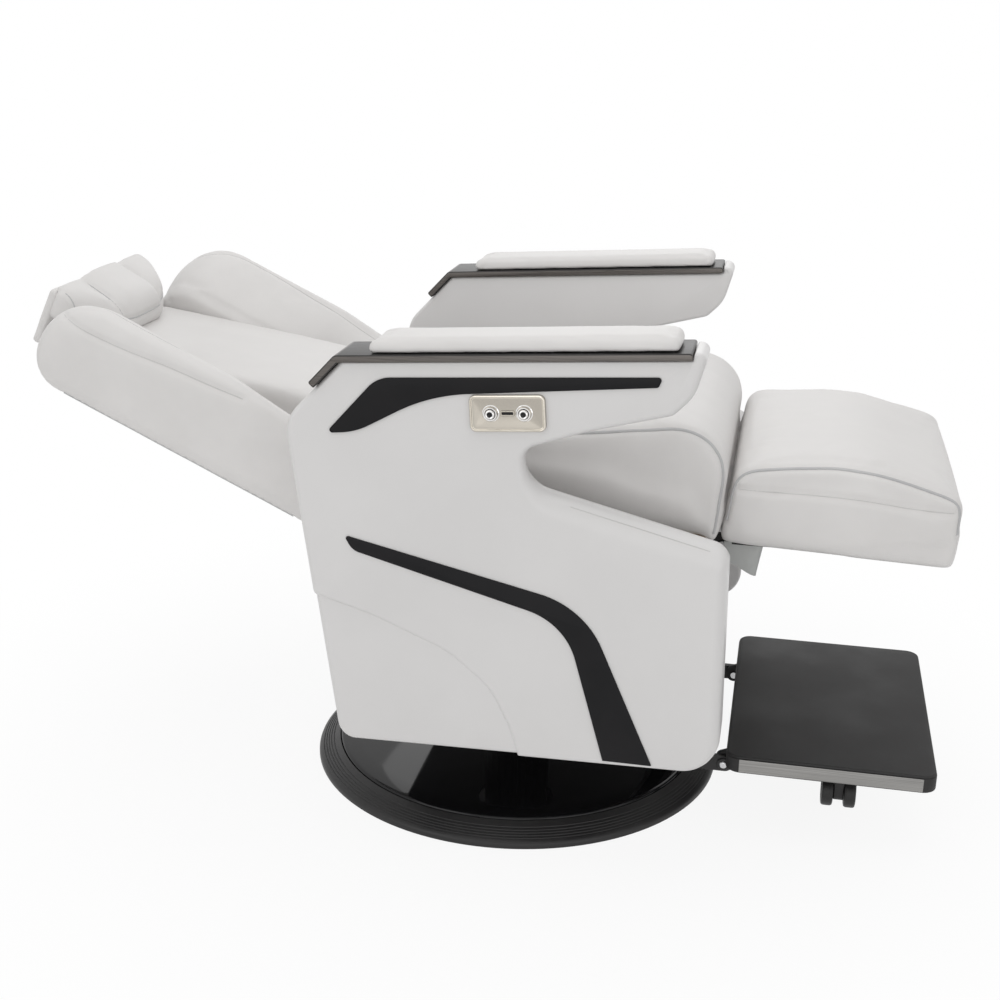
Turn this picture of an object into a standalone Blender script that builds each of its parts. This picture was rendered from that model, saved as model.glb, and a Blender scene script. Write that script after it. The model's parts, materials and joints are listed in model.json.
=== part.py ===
"""Reclining barber chair on a round floor plate, modelled in metres with +Z up.

The sitter faces +X and the sitter's right hand is towards -Y. The origin is the middle of the floor plate's
underside. The chair is built as it stands with the back laid down and the leg rest raised.
"""

import math

import bmesh
import bpy
from mathutils import Matrix, Vector

# Clearances
SEAT_GAP = 0.0003  # between faces that rest on each other
RUN_GAP = 0.0006  # round a pin, spindle or plunger that turns or slides
ROUND_STEPS = 16  # sides of a small cylinder or hole
TURN_STEPS = 28  # sides of a turned piece of the column
PLATE_STEPS = 44  # and of the floor plate
ARC_STEPS = 4  # straight runs in one rounded corner of an outline
INLAY_ARC_STEPS = 7  # and in the long bends of the inlays
WHEEL_STEPS = 20  # sides of a caster wheel
CUT_PAST = 0.010  # how far a cutter runs past the face it opens
WELD = 0.002  # how far joined pieces reach into each other

# Floor plate and lift column
BASE_RADIUS = 0.330
BASE_EDGE = 0.009  # height of the plate's outer edge
RIM_WIDTH = 0.036
RIM_TOP = 0.029
RIM_RIBS = 3
RIB_GROOVE = 0.0014
RIB_SHARE = 0.8  # of the spacing, the rest is groove
POCKET_FLOOR = 0.018
COVER_EDGE = 0.031  # height of the glossy cover at its outer edge
COVER_CROWN = 0.037  # and beside the column
COVER_ROUND = 0.002
COLUMN_RADIUS = 0.055
RAM_RADIUS = 0.040
COLUMN_TOP = 0.255
COLUMN_FLOOR = 0.012  # thickness of the cylinder's closed end
GLAND_HEIGHT = 0.015
GLAND_LIP = 0.004
GLAND_ROUND = 0.002
RAM_FOOT = 0.040  # height of the ram's lower end when the chair is down
FLANGE_RADIUS = 0.060
FLANGE_UNDER = 0.296
FLANGE_THICK = 0.020
SPIGOT_RADIUS = 0.020
BEARING_RADIUS = 0.054
BEARING_THICK = 0.010

# Seat frame
TURN_PLATE_THICK = 0.012
TURN_PLATE_SIDE = 0.260
TURN_PLATE_CORNER = 0.030
CROSS_HEIGHT = 0.030
CROSS_WIDTH = 0.040
CROSS_X = 0.090
CROSS_ROUND = 0.003
FRAME_Y = 0.170  # inner face of the frame's side plates
FRAME_THICK = 0.008
FRAME_DROP = 0.004  # how far the side plates reach below the cross tubes
SEAT_PAN_Z = 0.4683
SEAT_PAN_THICK = 0.012
SEAT_PAN_INSET = 0.010  # from the cushion's sides
SEAT_PAN_REAR = 0.005  # and from its rear edge
SEAT_PAN_NOSE = 0.022  # behind the leg rest's hinge
FRAME_EAR_WALL = 0.006  # round the hinge ears of the back
FRAME_NOSE = 0.008  # behind the front cover
FRAME_HEEL = 0.035  # in front of the back's hinge, at the foot
FRAME_NECK = 0.050  # below the back's hinge, at the rear
FRAME_SADDLE = 0.045  # in front of the back's hinge, at the top
FRAME_BROW = 0.034  # behind the leg rest's hinge, at the top
BRACKET_REAR, BRACKET_FRONT = -0.060, 0.200  # box arm that carries a shell
BRACKET_LOW, BRACKET_HIGH = 0.035, 0.075  # above the cross tubes' underside
PIN_PROUD = 0.003

# Hinges
RECLINE_X, RECLINE_Z = -0.170, 0.490
BACK_LEAN = math.radians(65.0)  # from upright, as it stands
RECLINE_SWING = math.radians(52.0)
LEG_X, LEG_Z = 0.324, 0.450
HINGE_EAR = 0.024
LEG_EAR = 0.015
PIN_RADIUS = 0.008
LEG_PIN_RADIUS = 0.006
EAR_THICK = 0.008

# Side shells and armrests
SHELL_OUT_Y = 0.368
SHELL_DEPTH = 0.078
SHELL_WALL = 0.005
SHELL_FOOT = 0.180
SHELL_FRONT = 0.345
SHELL_REAR_FOOT = -0.198
SHELL_REAR = -0.267
SHOULDER_DROP = 0.2145  # from the arm's rear end down to the lower body's front corner
SHOULDER_RISE = 0.068  # from there up to the opening's rear end
NOTCH_X = 0.062  # rear end of the opening under the arm
ARM_REAR_X, ARM_REAR_Z = -0.186, 0.7295
ARM_FRONT_X = 0.308
ARM_RISE = math.radians(3.8)
ARM_DEPTH_REAR, ARM_DEPTH_FRONT = 0.121, 0.069  # of the arm above the opening, below the nose
ARM_CHIN = 0.046  # from the nose back to the arm's lower front corner
LINER_THICK = 0.006
LINER_GAP = 0.0006
SHELL_EDGE_ROUND = 0.007
RAIL_THICK = 0.0105
RAIL_OVERHANG = 0.005
RAIL_END = 0.0325  # from the nose back to the rail
RAIL_TAIL = 0.050  # sloping tail behind the arm
RAIL_TAIL_SLOPE = math.radians(47.0)
PAD_LENGTH = 0.406
PAD_START = 0.044  # from the rail's bend to the pad
PAD_WIDTH = 0.084
PAD_THICK = 0.0215
PAD_CROWN = 0.003
PAD_EDGE = 0.007
INLAY_THICK = 0.002
# Upper inlay: distances along the arm from its rear end, and below its top line
UPPER_TAIL, UPPER_HEEL, UPPER_BEND, UPPER_WAIST = -0.0259, 0.0164, 0.1222, 0.0513
UPPER_CHIN, UPPER_TIP = 0.4219, 0.4281
UPPER_TAIL_DROP, UPPER_HEEL_DROP, UPPER_BEND_DROP = 0.0962, 0.0946, 0.0442
UPPER_CHIN_DROP, UPPER_TIP_DROP, UPPER_WAIST_DROP = 0.0342, 0.0209, 0.0204
# Lower inlay: from its foot up to a knee below the shoulder, and back to its tail
LOWER_FOOT_X, LOWER_FOOT_WIDTH, LOWER_FOOT_RISE = 0.187, 0.0665, 0.009
LOWER_KNEE_X, LOWER_KNEE_DROP = 0.153, 0.102
LOWER_TAIL_X, LOWER_TAIL_RISE = -0.1825, 0.0745
LOWER_HEEL_X, LOWER_HEEL_RISE = 0.0125, 0.0205  # of the tail's lower corner
LOWER_HOLLOW_X, LOWER_HOLLOW_DROP = -0.0252, 0.0253  # of the knee's inner corner

# Control plate on the right arm
CONTROL_ALONG, CONTROL_BELOW = 0.2257, 0.0673  # along the arm, and below its top line
CONTROL_LENGTH, CONTROL_HEIGHT, CONTROL_THICK = 0.101, 0.0495, 0.0055
CONTROL_TILT = math.radians(4.0)
CONTROL_CORNER = 0.007
CONTROL_ROUND = 0.0022
BUTTON_SPACING = 0.0435
BUTTON_RADIUS = 0.0062
BUTTON_TRAVEL = 0.002
BUTTON_PROUD = 0.0035
COLLAR_RADIUS, COLLAR_HEIGHT = 0.0098, 0.0022
SOCKET_LENGTH, SOCKET_HEIGHT, SOCKET_THICK = 0.019, 0.0075, 0.0016
SOCKET_SLOT = 0.0032
SOCKET_SLOT_SHARE = 0.7  # of the socket's length
SOCKET_CORNER = 0.001

# Body covers
COVER_WALL = 0.005
REAR_COVER_TOP = 0.380
FRONT_COVER_X = 0.288
FRONT_COVER_TOP = 0.372
COVER_FOOT = 0.188
BODY_FLOOR_FRONT = 0.215
COLUMN_HOLE = 0.066
REAR_COVER_INSET = 0.006
SHELL_REAR_DROP = 0.085  # of the shell's rearmost point below the arm

# Cushions
SEAT_WIDTH = 0.500
SEAT_REAR_X = -0.105
SEAT_FRONT_X = 0.3345
SEAT_FRONT_TOP = 0.656  # where the top and front would meet
SEAT_REAR_TOP = 0.606
SEAT_FRONT_ROLL = 0.075
SEAT_CROWN = 0.010
SEAT_EDGE = 0.010
SEAT_FOOT_TUCK = 0.008
BACK_WIDTH = 0.560
BACK_TOP = 0.560  # along the back from the hinge
WING_FOOT = 0.058
BACK_FOOT = 0.030
BACK_REAR = -0.068  # in front of the hinge is positive
WING_OUT_ROUND = 0.024
WING_IN_ROUND = 0.058
WING_FRONT = 0.078
WING_FOOT_FRONT = 0.060
WING_BELLY = 0.250  # along the back, where the wing is at its fullest
BACK_SHELL_THICK = 0.010
BACK_BAR_THICK = 0.010
BACK_BAR_TOP = 0.430
STRAP_REAR, STRAP_FRONT = 0.050, 0.085  # where the straps run into their ears
BACK_CROSS = 0.020  # height of the cross bars
BACK_CROSS_DROP = 0.010  # of the upper one below the straps' ends
BACK_PAD_TOP = 0.530
BACK_PAD_EDGE = 0.006
BACK_PAD_FRONT = 0.052  # at the foot
LUMBAR = 0.040  # how far the pad stands forward
LUMBAR_SHARE = 0.36  # this share of the way up
LUMBAR_ROUND = 0.200
HEAD_DISH = -0.030  # and at its top
PILLOW_WIDTH = 0.296
PILLOW_FOOT, PILLOW_TOP = 0.514, 0.606
PILLOW_FRONT = 0.028
PILLOW_EDGE = 0.020
PILLOW_GAP = 0.0004
PILLOW_RISE = 0.002  # of its lower front corner above its foot
PILLOW_LEAN = 0.004  # of its upper front corner behind the front
PILLOW_STEP = 0.004  # above the pad, where the pillow hooks over it
FLAP_THICK = 0.018
FLAP_SINK = 0.002  # below the pillow's top
FLAP_WIDTH = 0.284
FLAP_REACH = 0.046  # behind the pillow
LEG_LENGTH = 0.3143
LEG_WIDTH = 0.462
LEG_REAR_X = 0.3352
LEG_UNDER, LEG_TOP = 0.4688, 0.584
LEG_CROWN = 0.008
LEG_BOARD_THICK = 0.008
LEG_BOARD_INSET = 0.030
LEG_BOARD_REAR = 0.014  # in front of the hinge
LEG_LUG_LENGTH = 0.009  # under the board
LEG_EDGE = 0.011
LEG_FOOT_TUCK, LEG_TOP_REACH = 0.009, 0.002
APRON_WIDTH, APRON_LENGTH, APRON_THICK = 0.390, 0.058, 0.003
APRON_SLOPE = math.radians(61.0)
APRON_X = 0.351

# Recline drive
LEVER_RADIUS = 0.075
LEVER_WIDTH = 0.034
LEVER_THICK = 0.008
LEVER_PIN_RADIUS = 0.006
LEVER_NECK = 0.036  # above the pin
LEVER_ROOT = 0.008  # below the back's foot
LEVER_TOP = 0.100
LEVER_MID = RECLINE_SWING / 2  # turn at which the lever hangs straight down
DRIVE_TUBE_RADIUS = 0.022
DRIVE_TUBE_REAR, DRIVE_TUBE_FRONT = -0.072, 0.205
DRIVE_TUBE_END = 0.020
MOTOR_REAR, MOTOR_FRONT, MOTOR_HALF = 0.030, 0.040, 0.035  # about the front cross tube
ROD_RADIUS = 0.010
ROD_FRONT_X = 0.100
YOKE_X = -0.098
YOKE_BLOCK = 0.012
YOKE_CHEEK = 0.007
YOKE_PLAY = 0.001
YOKE_WALL = 0.008
YOKE_TIP = 0.009
YOKE_OVERLAP = 0.004

# Footrest
FOOT_PIVOT_X, FOOT_PIVOT_Z = 0.348, 0.095
FOOT_REAR_X, FOOT_LENGTH, FOOT_WIDTH = 0.352, 0.303, 0.452
FOOT_TOP = 0.1395
FOOT_TRAY_THICK = 0.0225
FOOT_TRAY_WALL = 0.004
FOOT_CORNER = 0.022
MAT_THICK = 0.0035
MAT_INSET = 0.003
FOOT_ARM_THICK = 0.009
FOOT_ARM_BAR = 0.024
FOOT_ARM_X = 0.245
FOOT_ARM_WIDTH = 0.040
FOOT_ARM_REACH = 0.060  # up the side plates
FOOT_ARM_TIP = 0.002
FOOT_LUG_THICK = 0.0085
FOOT_LUG_LENGTH = 0.230
FOOT_LUG_RUNOUT = 0.030
BOLT_RADIUS = 0.006
BOLT_HEAD_RADIUS, BOLT_HEAD = 0.010, 0.005
BOLT_PROUD = 0.003
CASTER_X, CASTER_Y = 0.526, 0.085
WHEEL_RADIUS, WHEEL_WIDTH, WHEEL_SPACE = 0.025, 0.018, 0.0165
WHEEL_LIFT = 0.001
AXLE_RADIUS = 0.0035
FORK_FOOT = 0.0145
FORK_DEPTH = 0.034
FORK_TOP = 0.068
STEM_RADIUS = 0.009
STEM_WELD = 0.004

# Heights that follow from the sizes above
FLANGE_TOP = FLANGE_UNDER + FLANGE_THICK
BEARING_TOP = FLANGE_TOP + SEAT_GAP + BEARING_THICK
TURN_PLATE_Z = BEARING_TOP + SEAT_GAP
CROSS_Z = TURN_PLATE_Z + TURN_PLATE_THICK + SEAT_GAP
FRAME_FOOT = CROSS_Z - FRAME_DROP
SHELL_IN_Y = SHELL_OUT_Y - SHELL_DEPTH
SHELL_SHOULDER = ARM_REAR_Z - SHOULDER_DROP
FRAME_OUT_Y = FRAME_Y + FRAME_THICK
EAR_OUT_Y = FRAME_Y - 2 * RUN_GAP
EAR_IN_Y = EAR_OUT_Y - EAR_THICK
FOOT_ARM_OUT_Y = FRAME_Y - SEAT_GAP
FOOT_ARM_IN_Y = FOOT_ARM_OUT_Y - FOOT_ARM_THICK
FOOT_LUG_OUT_Y = FOOT_ARM_IN_Y - RUN_GAP
FOOT_TRAY_TOP = FOOT_TOP - MAT_THICK - SEAT_GAP
FOOT_TRAY_UNDER = FOOT_TRAY_TOP - FOOT_TRAY_THICK
LEVER_PIN_X = LEVER_RADIUS * math.sin(LEVER_MID)
LEVER_PIN_LOW = LEVER_RADIUS
LEVER_PIN_HIGH = LEVER_RADIUS * math.cos(LEVER_MID)
DRIVE_Z = RECLINE_Z - (LEVER_PIN_LOW + LEVER_PIN_HIGH) / 2
SIDES = (("right", -1), ("left", 1))

for old in list(bpy.data.objects):
    bpy.data.objects.remove(old)
chair = bpy.data.collections.new("barber_chair")
cutters = bpy.data.collections.new("cutters")
bpy.context.scene.collection.children.link(chair)
bpy.context.scene.collection.children.link(cutters)


# Materials


def finish(name, colour, roughness, metallic=0.0):
    made = bpy.data.materials.new(name)
    made.use_nodes = True
    shader = made.node_tree.nodes["Principled BSDF"]
    shader.inputs["Base Color"].default_value = (*colour, 1.0)
    shader.inputs["Roughness"].default_value = roughness
    shader.inputs["Metallic"].default_value = metallic
    return made


WHITE_LEATHER = finish("white_leather", (0.72, 0.71, 0.70), 0.5)
WHITE_SHELL = finish("white_shell", (0.74, 0.73, 0.73), 0.35)
BLACK_INLAY = finish("black_inlay", (0.012, 0.012, 0.013), 0.45)
BRONZE_RAIL = finish("bronze_rail", (0.10, 0.092, 0.085), 0.35, 0.8)
BLACK_GLOSS = finish("black_gloss", (0.01, 0.01, 0.011), 0.06)
BLACK_PAINT = finish("black_paint", (0.02, 0.019, 0.02), 0.5)
STEEL = finish("steel", (0.55, 0.55, 0.56), 0.3, 1.0)
BRUSHED_STEEL = finish("brushed_steel", (0.42, 0.41, 0.40), 0.38, 1.0)
NICKEL = finish("nickel", (0.66, 0.63, 0.58), 0.28, 1.0)
BLACK_RUBBER = finish("black_rubber", (0.03, 0.03, 0.03), 0.75)
PLYWOOD = finish("plywood", (0.50, 0.36, 0.22), 0.7)


# Modelling helpers


def place(name, mesh, material, parent=None, local=False):
    """One named object. Its mesh is in the chair's frame, or in its parent's own frame where that is turned."""
    if parent and not local:
        mesh.transform(Matrix.Translation(-parent.location))
    obj = bpy.data.objects.new(name, mesh)
    chair.objects.link(obj)
    obj.parent = parent
    mesh.materials.clear()
    mesh.materials.append(material)
    mesh.shade_smooth()
    mesh.set_sharp_from_angle(angle=math.radians(35))
    return obj


def joint(name, at, turn=(0, 0, 0)):
    """An empty on a joint's axis, which carries the pieces that move on it."""
    empty = bpy.data.objects.new(name, None)
    empty.location = at
    empty.rotation_euler = turn
    chair.objects.link(empty)
    return empty


def mesh_of(obj):
    """The evaluated mesh of a helper object, welded and pointing out. The helper is removed."""
    bpy.context.view_layer.update()
    graph = bpy.context.evaluated_depsgraph_get()
    mesh = bpy.data.meshes.new_from_object(obj.evaluated_get(graph))
    mesh.transform(obj.matrix_world)
    bpy.data.objects.remove(obj)
    tidy = bmesh.new()
    tidy.from_mesh(mesh)
    bmesh.ops.remove_doubles(tidy, verts=tidy.verts, dist=1e-6)
    bmesh.ops.recalc_face_normals(tidy, faces=tidy.faces)
    tidy.to_mesh(mesh)
    tidy.free()
    mesh.materials.clear()
    return mesh


def rounded(corners, steps=ARC_STEPS):
    """An outline from (a, b, radius) corners, each radius drawn as a tangent arc."""
    points = []
    count = len(corners)
    for i, (a, b, radius) in enumerate(corners):
        here = Vector((a, b))
        before = (Vector(corners[i - 1][:2]) - here).normalized()
        after = (Vector(corners[(i + 1) % count][:2]) - here).normalized()
        angle = before.angle(after)
        if radius <= 0 or angle > math.pi - 0.01:
            points.append((a, b))
            continue
        reach = radius / math.tan(angle / 2)
        centre = here + (before + after).normalized() * radius / math.sin(angle / 2)
        start, end = here + before * reach - centre, here + after * reach - centre
        turn = start.angle_signed(end)
        for k in range(steps + 1):
            # angle_signed counts clockwise, Matrix.Rotation the other way
            arm = Matrix.Rotation(-turn * k / steps, 2) @ start
            points.append(tuple(centre + arm))
    return points


def inset(corners, distance):
    """The same corners moved inwards by a distance. The corners run anticlockwise."""
    moved = []
    count = len(corners)
    for i, (a, b, radius) in enumerate(corners):
        here = Vector((a, b))
        into = (here - Vector(corners[i - 1][:2])).normalized()
        out = (Vector(corners[(i + 1) % count][:2]) - here).normalized()
        left_in, left_out = Vector((-into.y, into.x)), Vector((-out.y, out.x))
        shift = (left_in + left_out) / (1 + left_in.dot(left_out)) * distance
        convex = into.x * out.y - into.y * out.x > 0
        moved.append((*(here + shift), max(radius - distance if convex else radius + distance, 0.0005)))
    return moved


AXIS_FRAMES = {
    "X": Matrix(((0, 0, 1), (1, 0, 0), (0, 1, 0))).to_4x4(),
    "Y": Matrix(((1, 0, 0), (0, 0, -1), (0, 1, 0))).to_4x4(),
    "Z": Matrix.Identity(4),
}


def plate_mesh(outline, axis, low, high):
    """A flat outline given a thickness along one axis. The outline's two numbers run along the other two axes."""
    curve = bpy.data.curves.new("outline", "CURVE")
    curve.dimensions = "2D"
    curve.fill_mode = "BOTH"
    curve.extrude = (high - low) / 2
    spline = curve.splines.new("POLY")
    spline.points.add(len(outline) - 1)
    for point, (a, b) in zip(spline.points, outline):
        point.co = (a, b, 0, 1)
    spline.use_cyclic_u = True
    helper = bpy.data.objects.new("outline", curve)
    cutters.objects.link(helper)
    middle = (low + high) / 2
    shift = Vector((middle if axis == "X" else 0, middle if axis == "Y" else 0, middle if axis == "Z" else 0))
    helper.matrix_world = Matrix.Translation(shift) @ AXIS_FRAMES[axis]
    return mesh_of(helper)


def box_mesh(low, high):
    low, high = Vector(low), Vector(high)
    made = bmesh.new()
    bmesh.ops.create_cube(made, size=1.0)
    bmesh.ops.scale(made, vec=high - low, verts=made.verts)
    bmesh.ops.translate(made, vec=(low + high) / 2, verts=made.verts)
    mesh = bpy.data.meshes.new("box")
    made.to_mesh(mesh)
    made.free()
    return mesh


def rod_mesh(radius, axis, low, high, centre=(0.0, 0.0), steps=ROUND_STEPS):
    """A round bar along one axis, with its centre given along the other two axes."""
    made = bmesh.new()
    bmesh.ops.create_cone(
        made, cap_ends=True, segments=steps, radius1=radius, radius2=radius, depth=high - low
    )
    bmesh.ops.translate(made, vec=(*centre, 0), verts=made.verts)
    if axis == "Y":
        centre_shift = -(low + high) / 2
    else:
        centre_shift = (low + high) / 2
    bmesh.ops.translate(made, vec=(0, 0, centre_shift), verts=made.verts)
    bmesh.ops.transform(made, matrix=AXIS_FRAMES[axis], verts=made.verts)
    mesh = bpy.data.meshes.new("rod")
    made.to_mesh(mesh)
    made.free()
    return mesh


def turned_mesh(profile, steps=TURN_STEPS):
    """A shape turned about Z from (radius, height) points that run down the outer side and back."""
    made = bmesh.new()
    points = [made.verts.new((r, 0, z)) for r, z in profile]
    for a, b in zip(points, points[1:]):
        made.edges.new((a, b))
    if profile[0][0] > 0:
        made.edges.new((points[-1], points[0]))
    mesh = bpy.data.meshes.new("profile")
    made.to_mesh(mesh)
    made.free()
    helper = bpy.data.objects.new("profile", mesh)
    cutters.objects.link(helper)
    screw = helper.modifiers.new("turn", "SCREW")
    screw.steps = screw.render_steps = steps
    screw.use_merge_vertices = True
    screw.merge_threshold = 0.00001
    return mesh_of(helper)


def loft_mesh(rings):
    """A closed body through rings of equally many points, capped at both ends."""
    made = bmesh.new()
    rows = [[made.verts.new(p) for p in ring] for ring in rings]
    count = len(rows[0])
    for one, two in zip(rows, rows[1:]):
        for k in range(count):
            after = (k + 1) % count
            made.faces.new((one[k], one[after], two[after], two[k]))
    made.faces.new(rows[0])
    made.faces.new(rows[-1])
    bmesh.ops.recalc_face_normals(made, faces=made.faces)
    mesh = bpy.data.meshes.new("loft")
    made.to_mesh(mesh)
    made.free()
    return mesh


def combine(name, mesh, others, operation="DIFFERENCE"):
    """The mesh with other meshes cut out of it, or joined to it."""
    helper = bpy.data.objects.new(name, mesh)
    cutters.objects.link(helper)
    tools = []
    for i, other in enumerate(others):
        tool = bpy.data.objects.new(f"{name}_tool_{i}", other)
        tool.hide_render = True
        tool.display_type = "WIRE"
        cutters.objects.link(tool)
        tools.append(tool)
        cut = helper.modifiers.new(f"tool_{i}", "BOOLEAN")
        cut.operation = operation
        cut.object = tool
    done = mesh_of(helper)
    for tool in tools:
        bpy.data.objects.remove(tool)
    return done


def bevelled(mesh, width, segments=2, angle=math.radians(50)):
    """The mesh with its sharp edges rounded."""
    helper = bpy.data.objects.new("bevel", mesh)
    cutters.objects.link(helper)
    bevel = helper.modifiers.new("bevel", "BEVEL")
    bevel.width = width
    bevel.segments = segments
    bevel.limit_method = "ANGLE"
    bevel.angle_limit = angle
    return mesh_of(helper)


def cushion_mesh(corners, half_width, crown, edge_round, other_round=None, stations=3):
    """A stuffed form with one outline from side to side, crowned on top and drawn in at both sides.

    The edge towards -Y has its own rounding where a second one is given.
    """
    plus, minus = [], []
    for k in range(stations + 1):
        turn = math.pi / 2 * k / stations
        for rows, edge, side in ((plus, edge_round, 1), (minus, other_round or edge_round, -1)):
            rows.append((side * (half_width - edge * (1 - math.cos(turn))), edge * (1 - math.sin(turn))))
    rows = minus + [(minus[-1][0] * 0.4, 0.0), (plus[-1][0] * 0.4, 0.0)] + plus[::-1]
    low = min(corner[1] for corner in corners)
    high = max(corner[1] for corner in corners)
    rings = []
    for y, draw in rows:
        swell = crown * (1 - (y / half_width) ** 2)
        ring = []
        for a, b in rounded(inset(corners, draw)):
            ring.append((a, y, b + swell * (b - low) / (high - low)))
        rings.append(ring)
    return loft_mesh(rings)


def mirrored(mesh, side):
    """The mesh for one side of the chair, from the mesh for its left side."""
    copy = mesh.copy()
    if side < 0:
        copy.transform(Matrix.Scale(-1, 4, (0, 1, 0)))
        copy.flip_normals()
    return copy


# Floor plate and lift column


def floor_plate():
    slope = (RIM_TOP - BASE_EDGE) / RIM_WIDTH
    rim = []
    for k in range(RIM_RIBS):
        start = RIM_WIDTH * k / RIM_RIBS
        stop = RIM_WIDTH * (k + RIB_SHARE) / RIM_RIBS
        rim.append((BASE_RADIUS - start, BASE_EDGE + slope * start))
        rim.append((BASE_RADIUS - stop, BASE_EDGE + slope * stop))
        rim.append((BASE_RADIUS - stop, BASE_EDGE + slope * stop - RIB_GROOVE))
    inner = BASE_RADIUS - RIM_WIDTH
    profile = [(0, POCKET_FLOOR), (inner, POCKET_FLOOR), (inner, RIM_TOP)]
    profile += [(r, z) for r, z in reversed(rim)]
    profile += [(BASE_RADIUS, 0), (0, 0)]
    place("base_disc", turned_mesh(profile, PLATE_STEPS), BLACK_PAINT)
    outer = inner - SEAT_GAP
    bore = COLUMN_RADIUS + RUN_GAP
    under = POCKET_FLOOR + SEAT_GAP
    dome = [(bore, COVER_CROWN), ((outer + bore) / 2, COVER_CROWN * 0.7 + COVER_EDGE * 0.3)]
    dome += [(outer - COVER_ROUND, COVER_EDGE), (outer, COVER_EDGE - COVER_ROUND), (outer, under), (bore, under)]
    place("base_cover", turned_mesh(dome, PLATE_STEPS), BLACK_GLOSS)


def lift_column(lift_axis):
    foot = POCKET_FLOOR + SEAT_GAP
    bore = RAM_RADIUS + RUN_GAP
    cylinder = [(0, foot + COLUMN_FLOOR), (bore, foot + COLUMN_FLOOR), (bore, COLUMN_TOP)]
    cylinder += [(COLUMN_RADIUS, COLUMN_TOP), (COLUMN_RADIUS, foot), (0, foot)]
    place("lift_cylinder", turned_mesh(cylinder), BLACK_PAINT)
    low = COLUMN_TOP + SEAT_GAP
    high = low + GLAND_HEIGHT
    rim = COLUMN_RADIUS + GLAND_LIP
    gland = [(bore, high), (rim - GLAND_ROUND, high), (rim, high - GLAND_ROUND), (rim, low), (bore, low)]
    place("cylinder_gland", turned_mesh(gland), BLACK_RUBBER)
    spigot_top = TURN_PLATE_Z + TURN_PLATE_THICK - SEAT_GAP
    ram = [(0, spigot_top), (SPIGOT_RADIUS, spigot_top), (SPIGOT_RADIUS, FLANGE_TOP), (FLANGE_RADIUS, FLANGE_TOP)]
    ram += [(FLANGE_RADIUS, FLANGE_UNDER), (RAM_RADIUS, FLANGE_UNDER), (RAM_RADIUS, RAM_FOOT), (0, RAM_FOOT)]
    place("lift_ram", turned_mesh(ram), STEEL, lift_axis)
    hole = SPIGOT_RADIUS + RUN_GAP
    low = FLANGE_TOP + SEAT_GAP
    ring = [(hole, BEARING_TOP), (BEARING_RADIUS, BEARING_TOP), (BEARING_RADIUS, low), (hole, low)]
    place("thrust_bearing", turned_mesh(ring), STEEL, lift_axis)


# Seat frame


def turn_plate(swivel_axis):
    half = TURN_PLATE_SIDE / 2
    corners = ((-half, -half), (half, -half), (half, half), (-half, half))
    square = rounded([(a, b, TURN_PLATE_CORNER) for a, b in corners])
    slab = plate_mesh(square, "Z", TURN_PLATE_Z, TURN_PLATE_Z + TURN_PLATE_THICK)
    hole = rod_mesh(SPIGOT_RADIUS + RUN_GAP, "Z", TURN_PLATE_Z - CUT_PAST, CROSS_Z + CUT_PAST)
    place("swivel_plate", combine("swivel_plate", slab, [hole]), BLACK_PAINT, swivel_axis)


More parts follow.
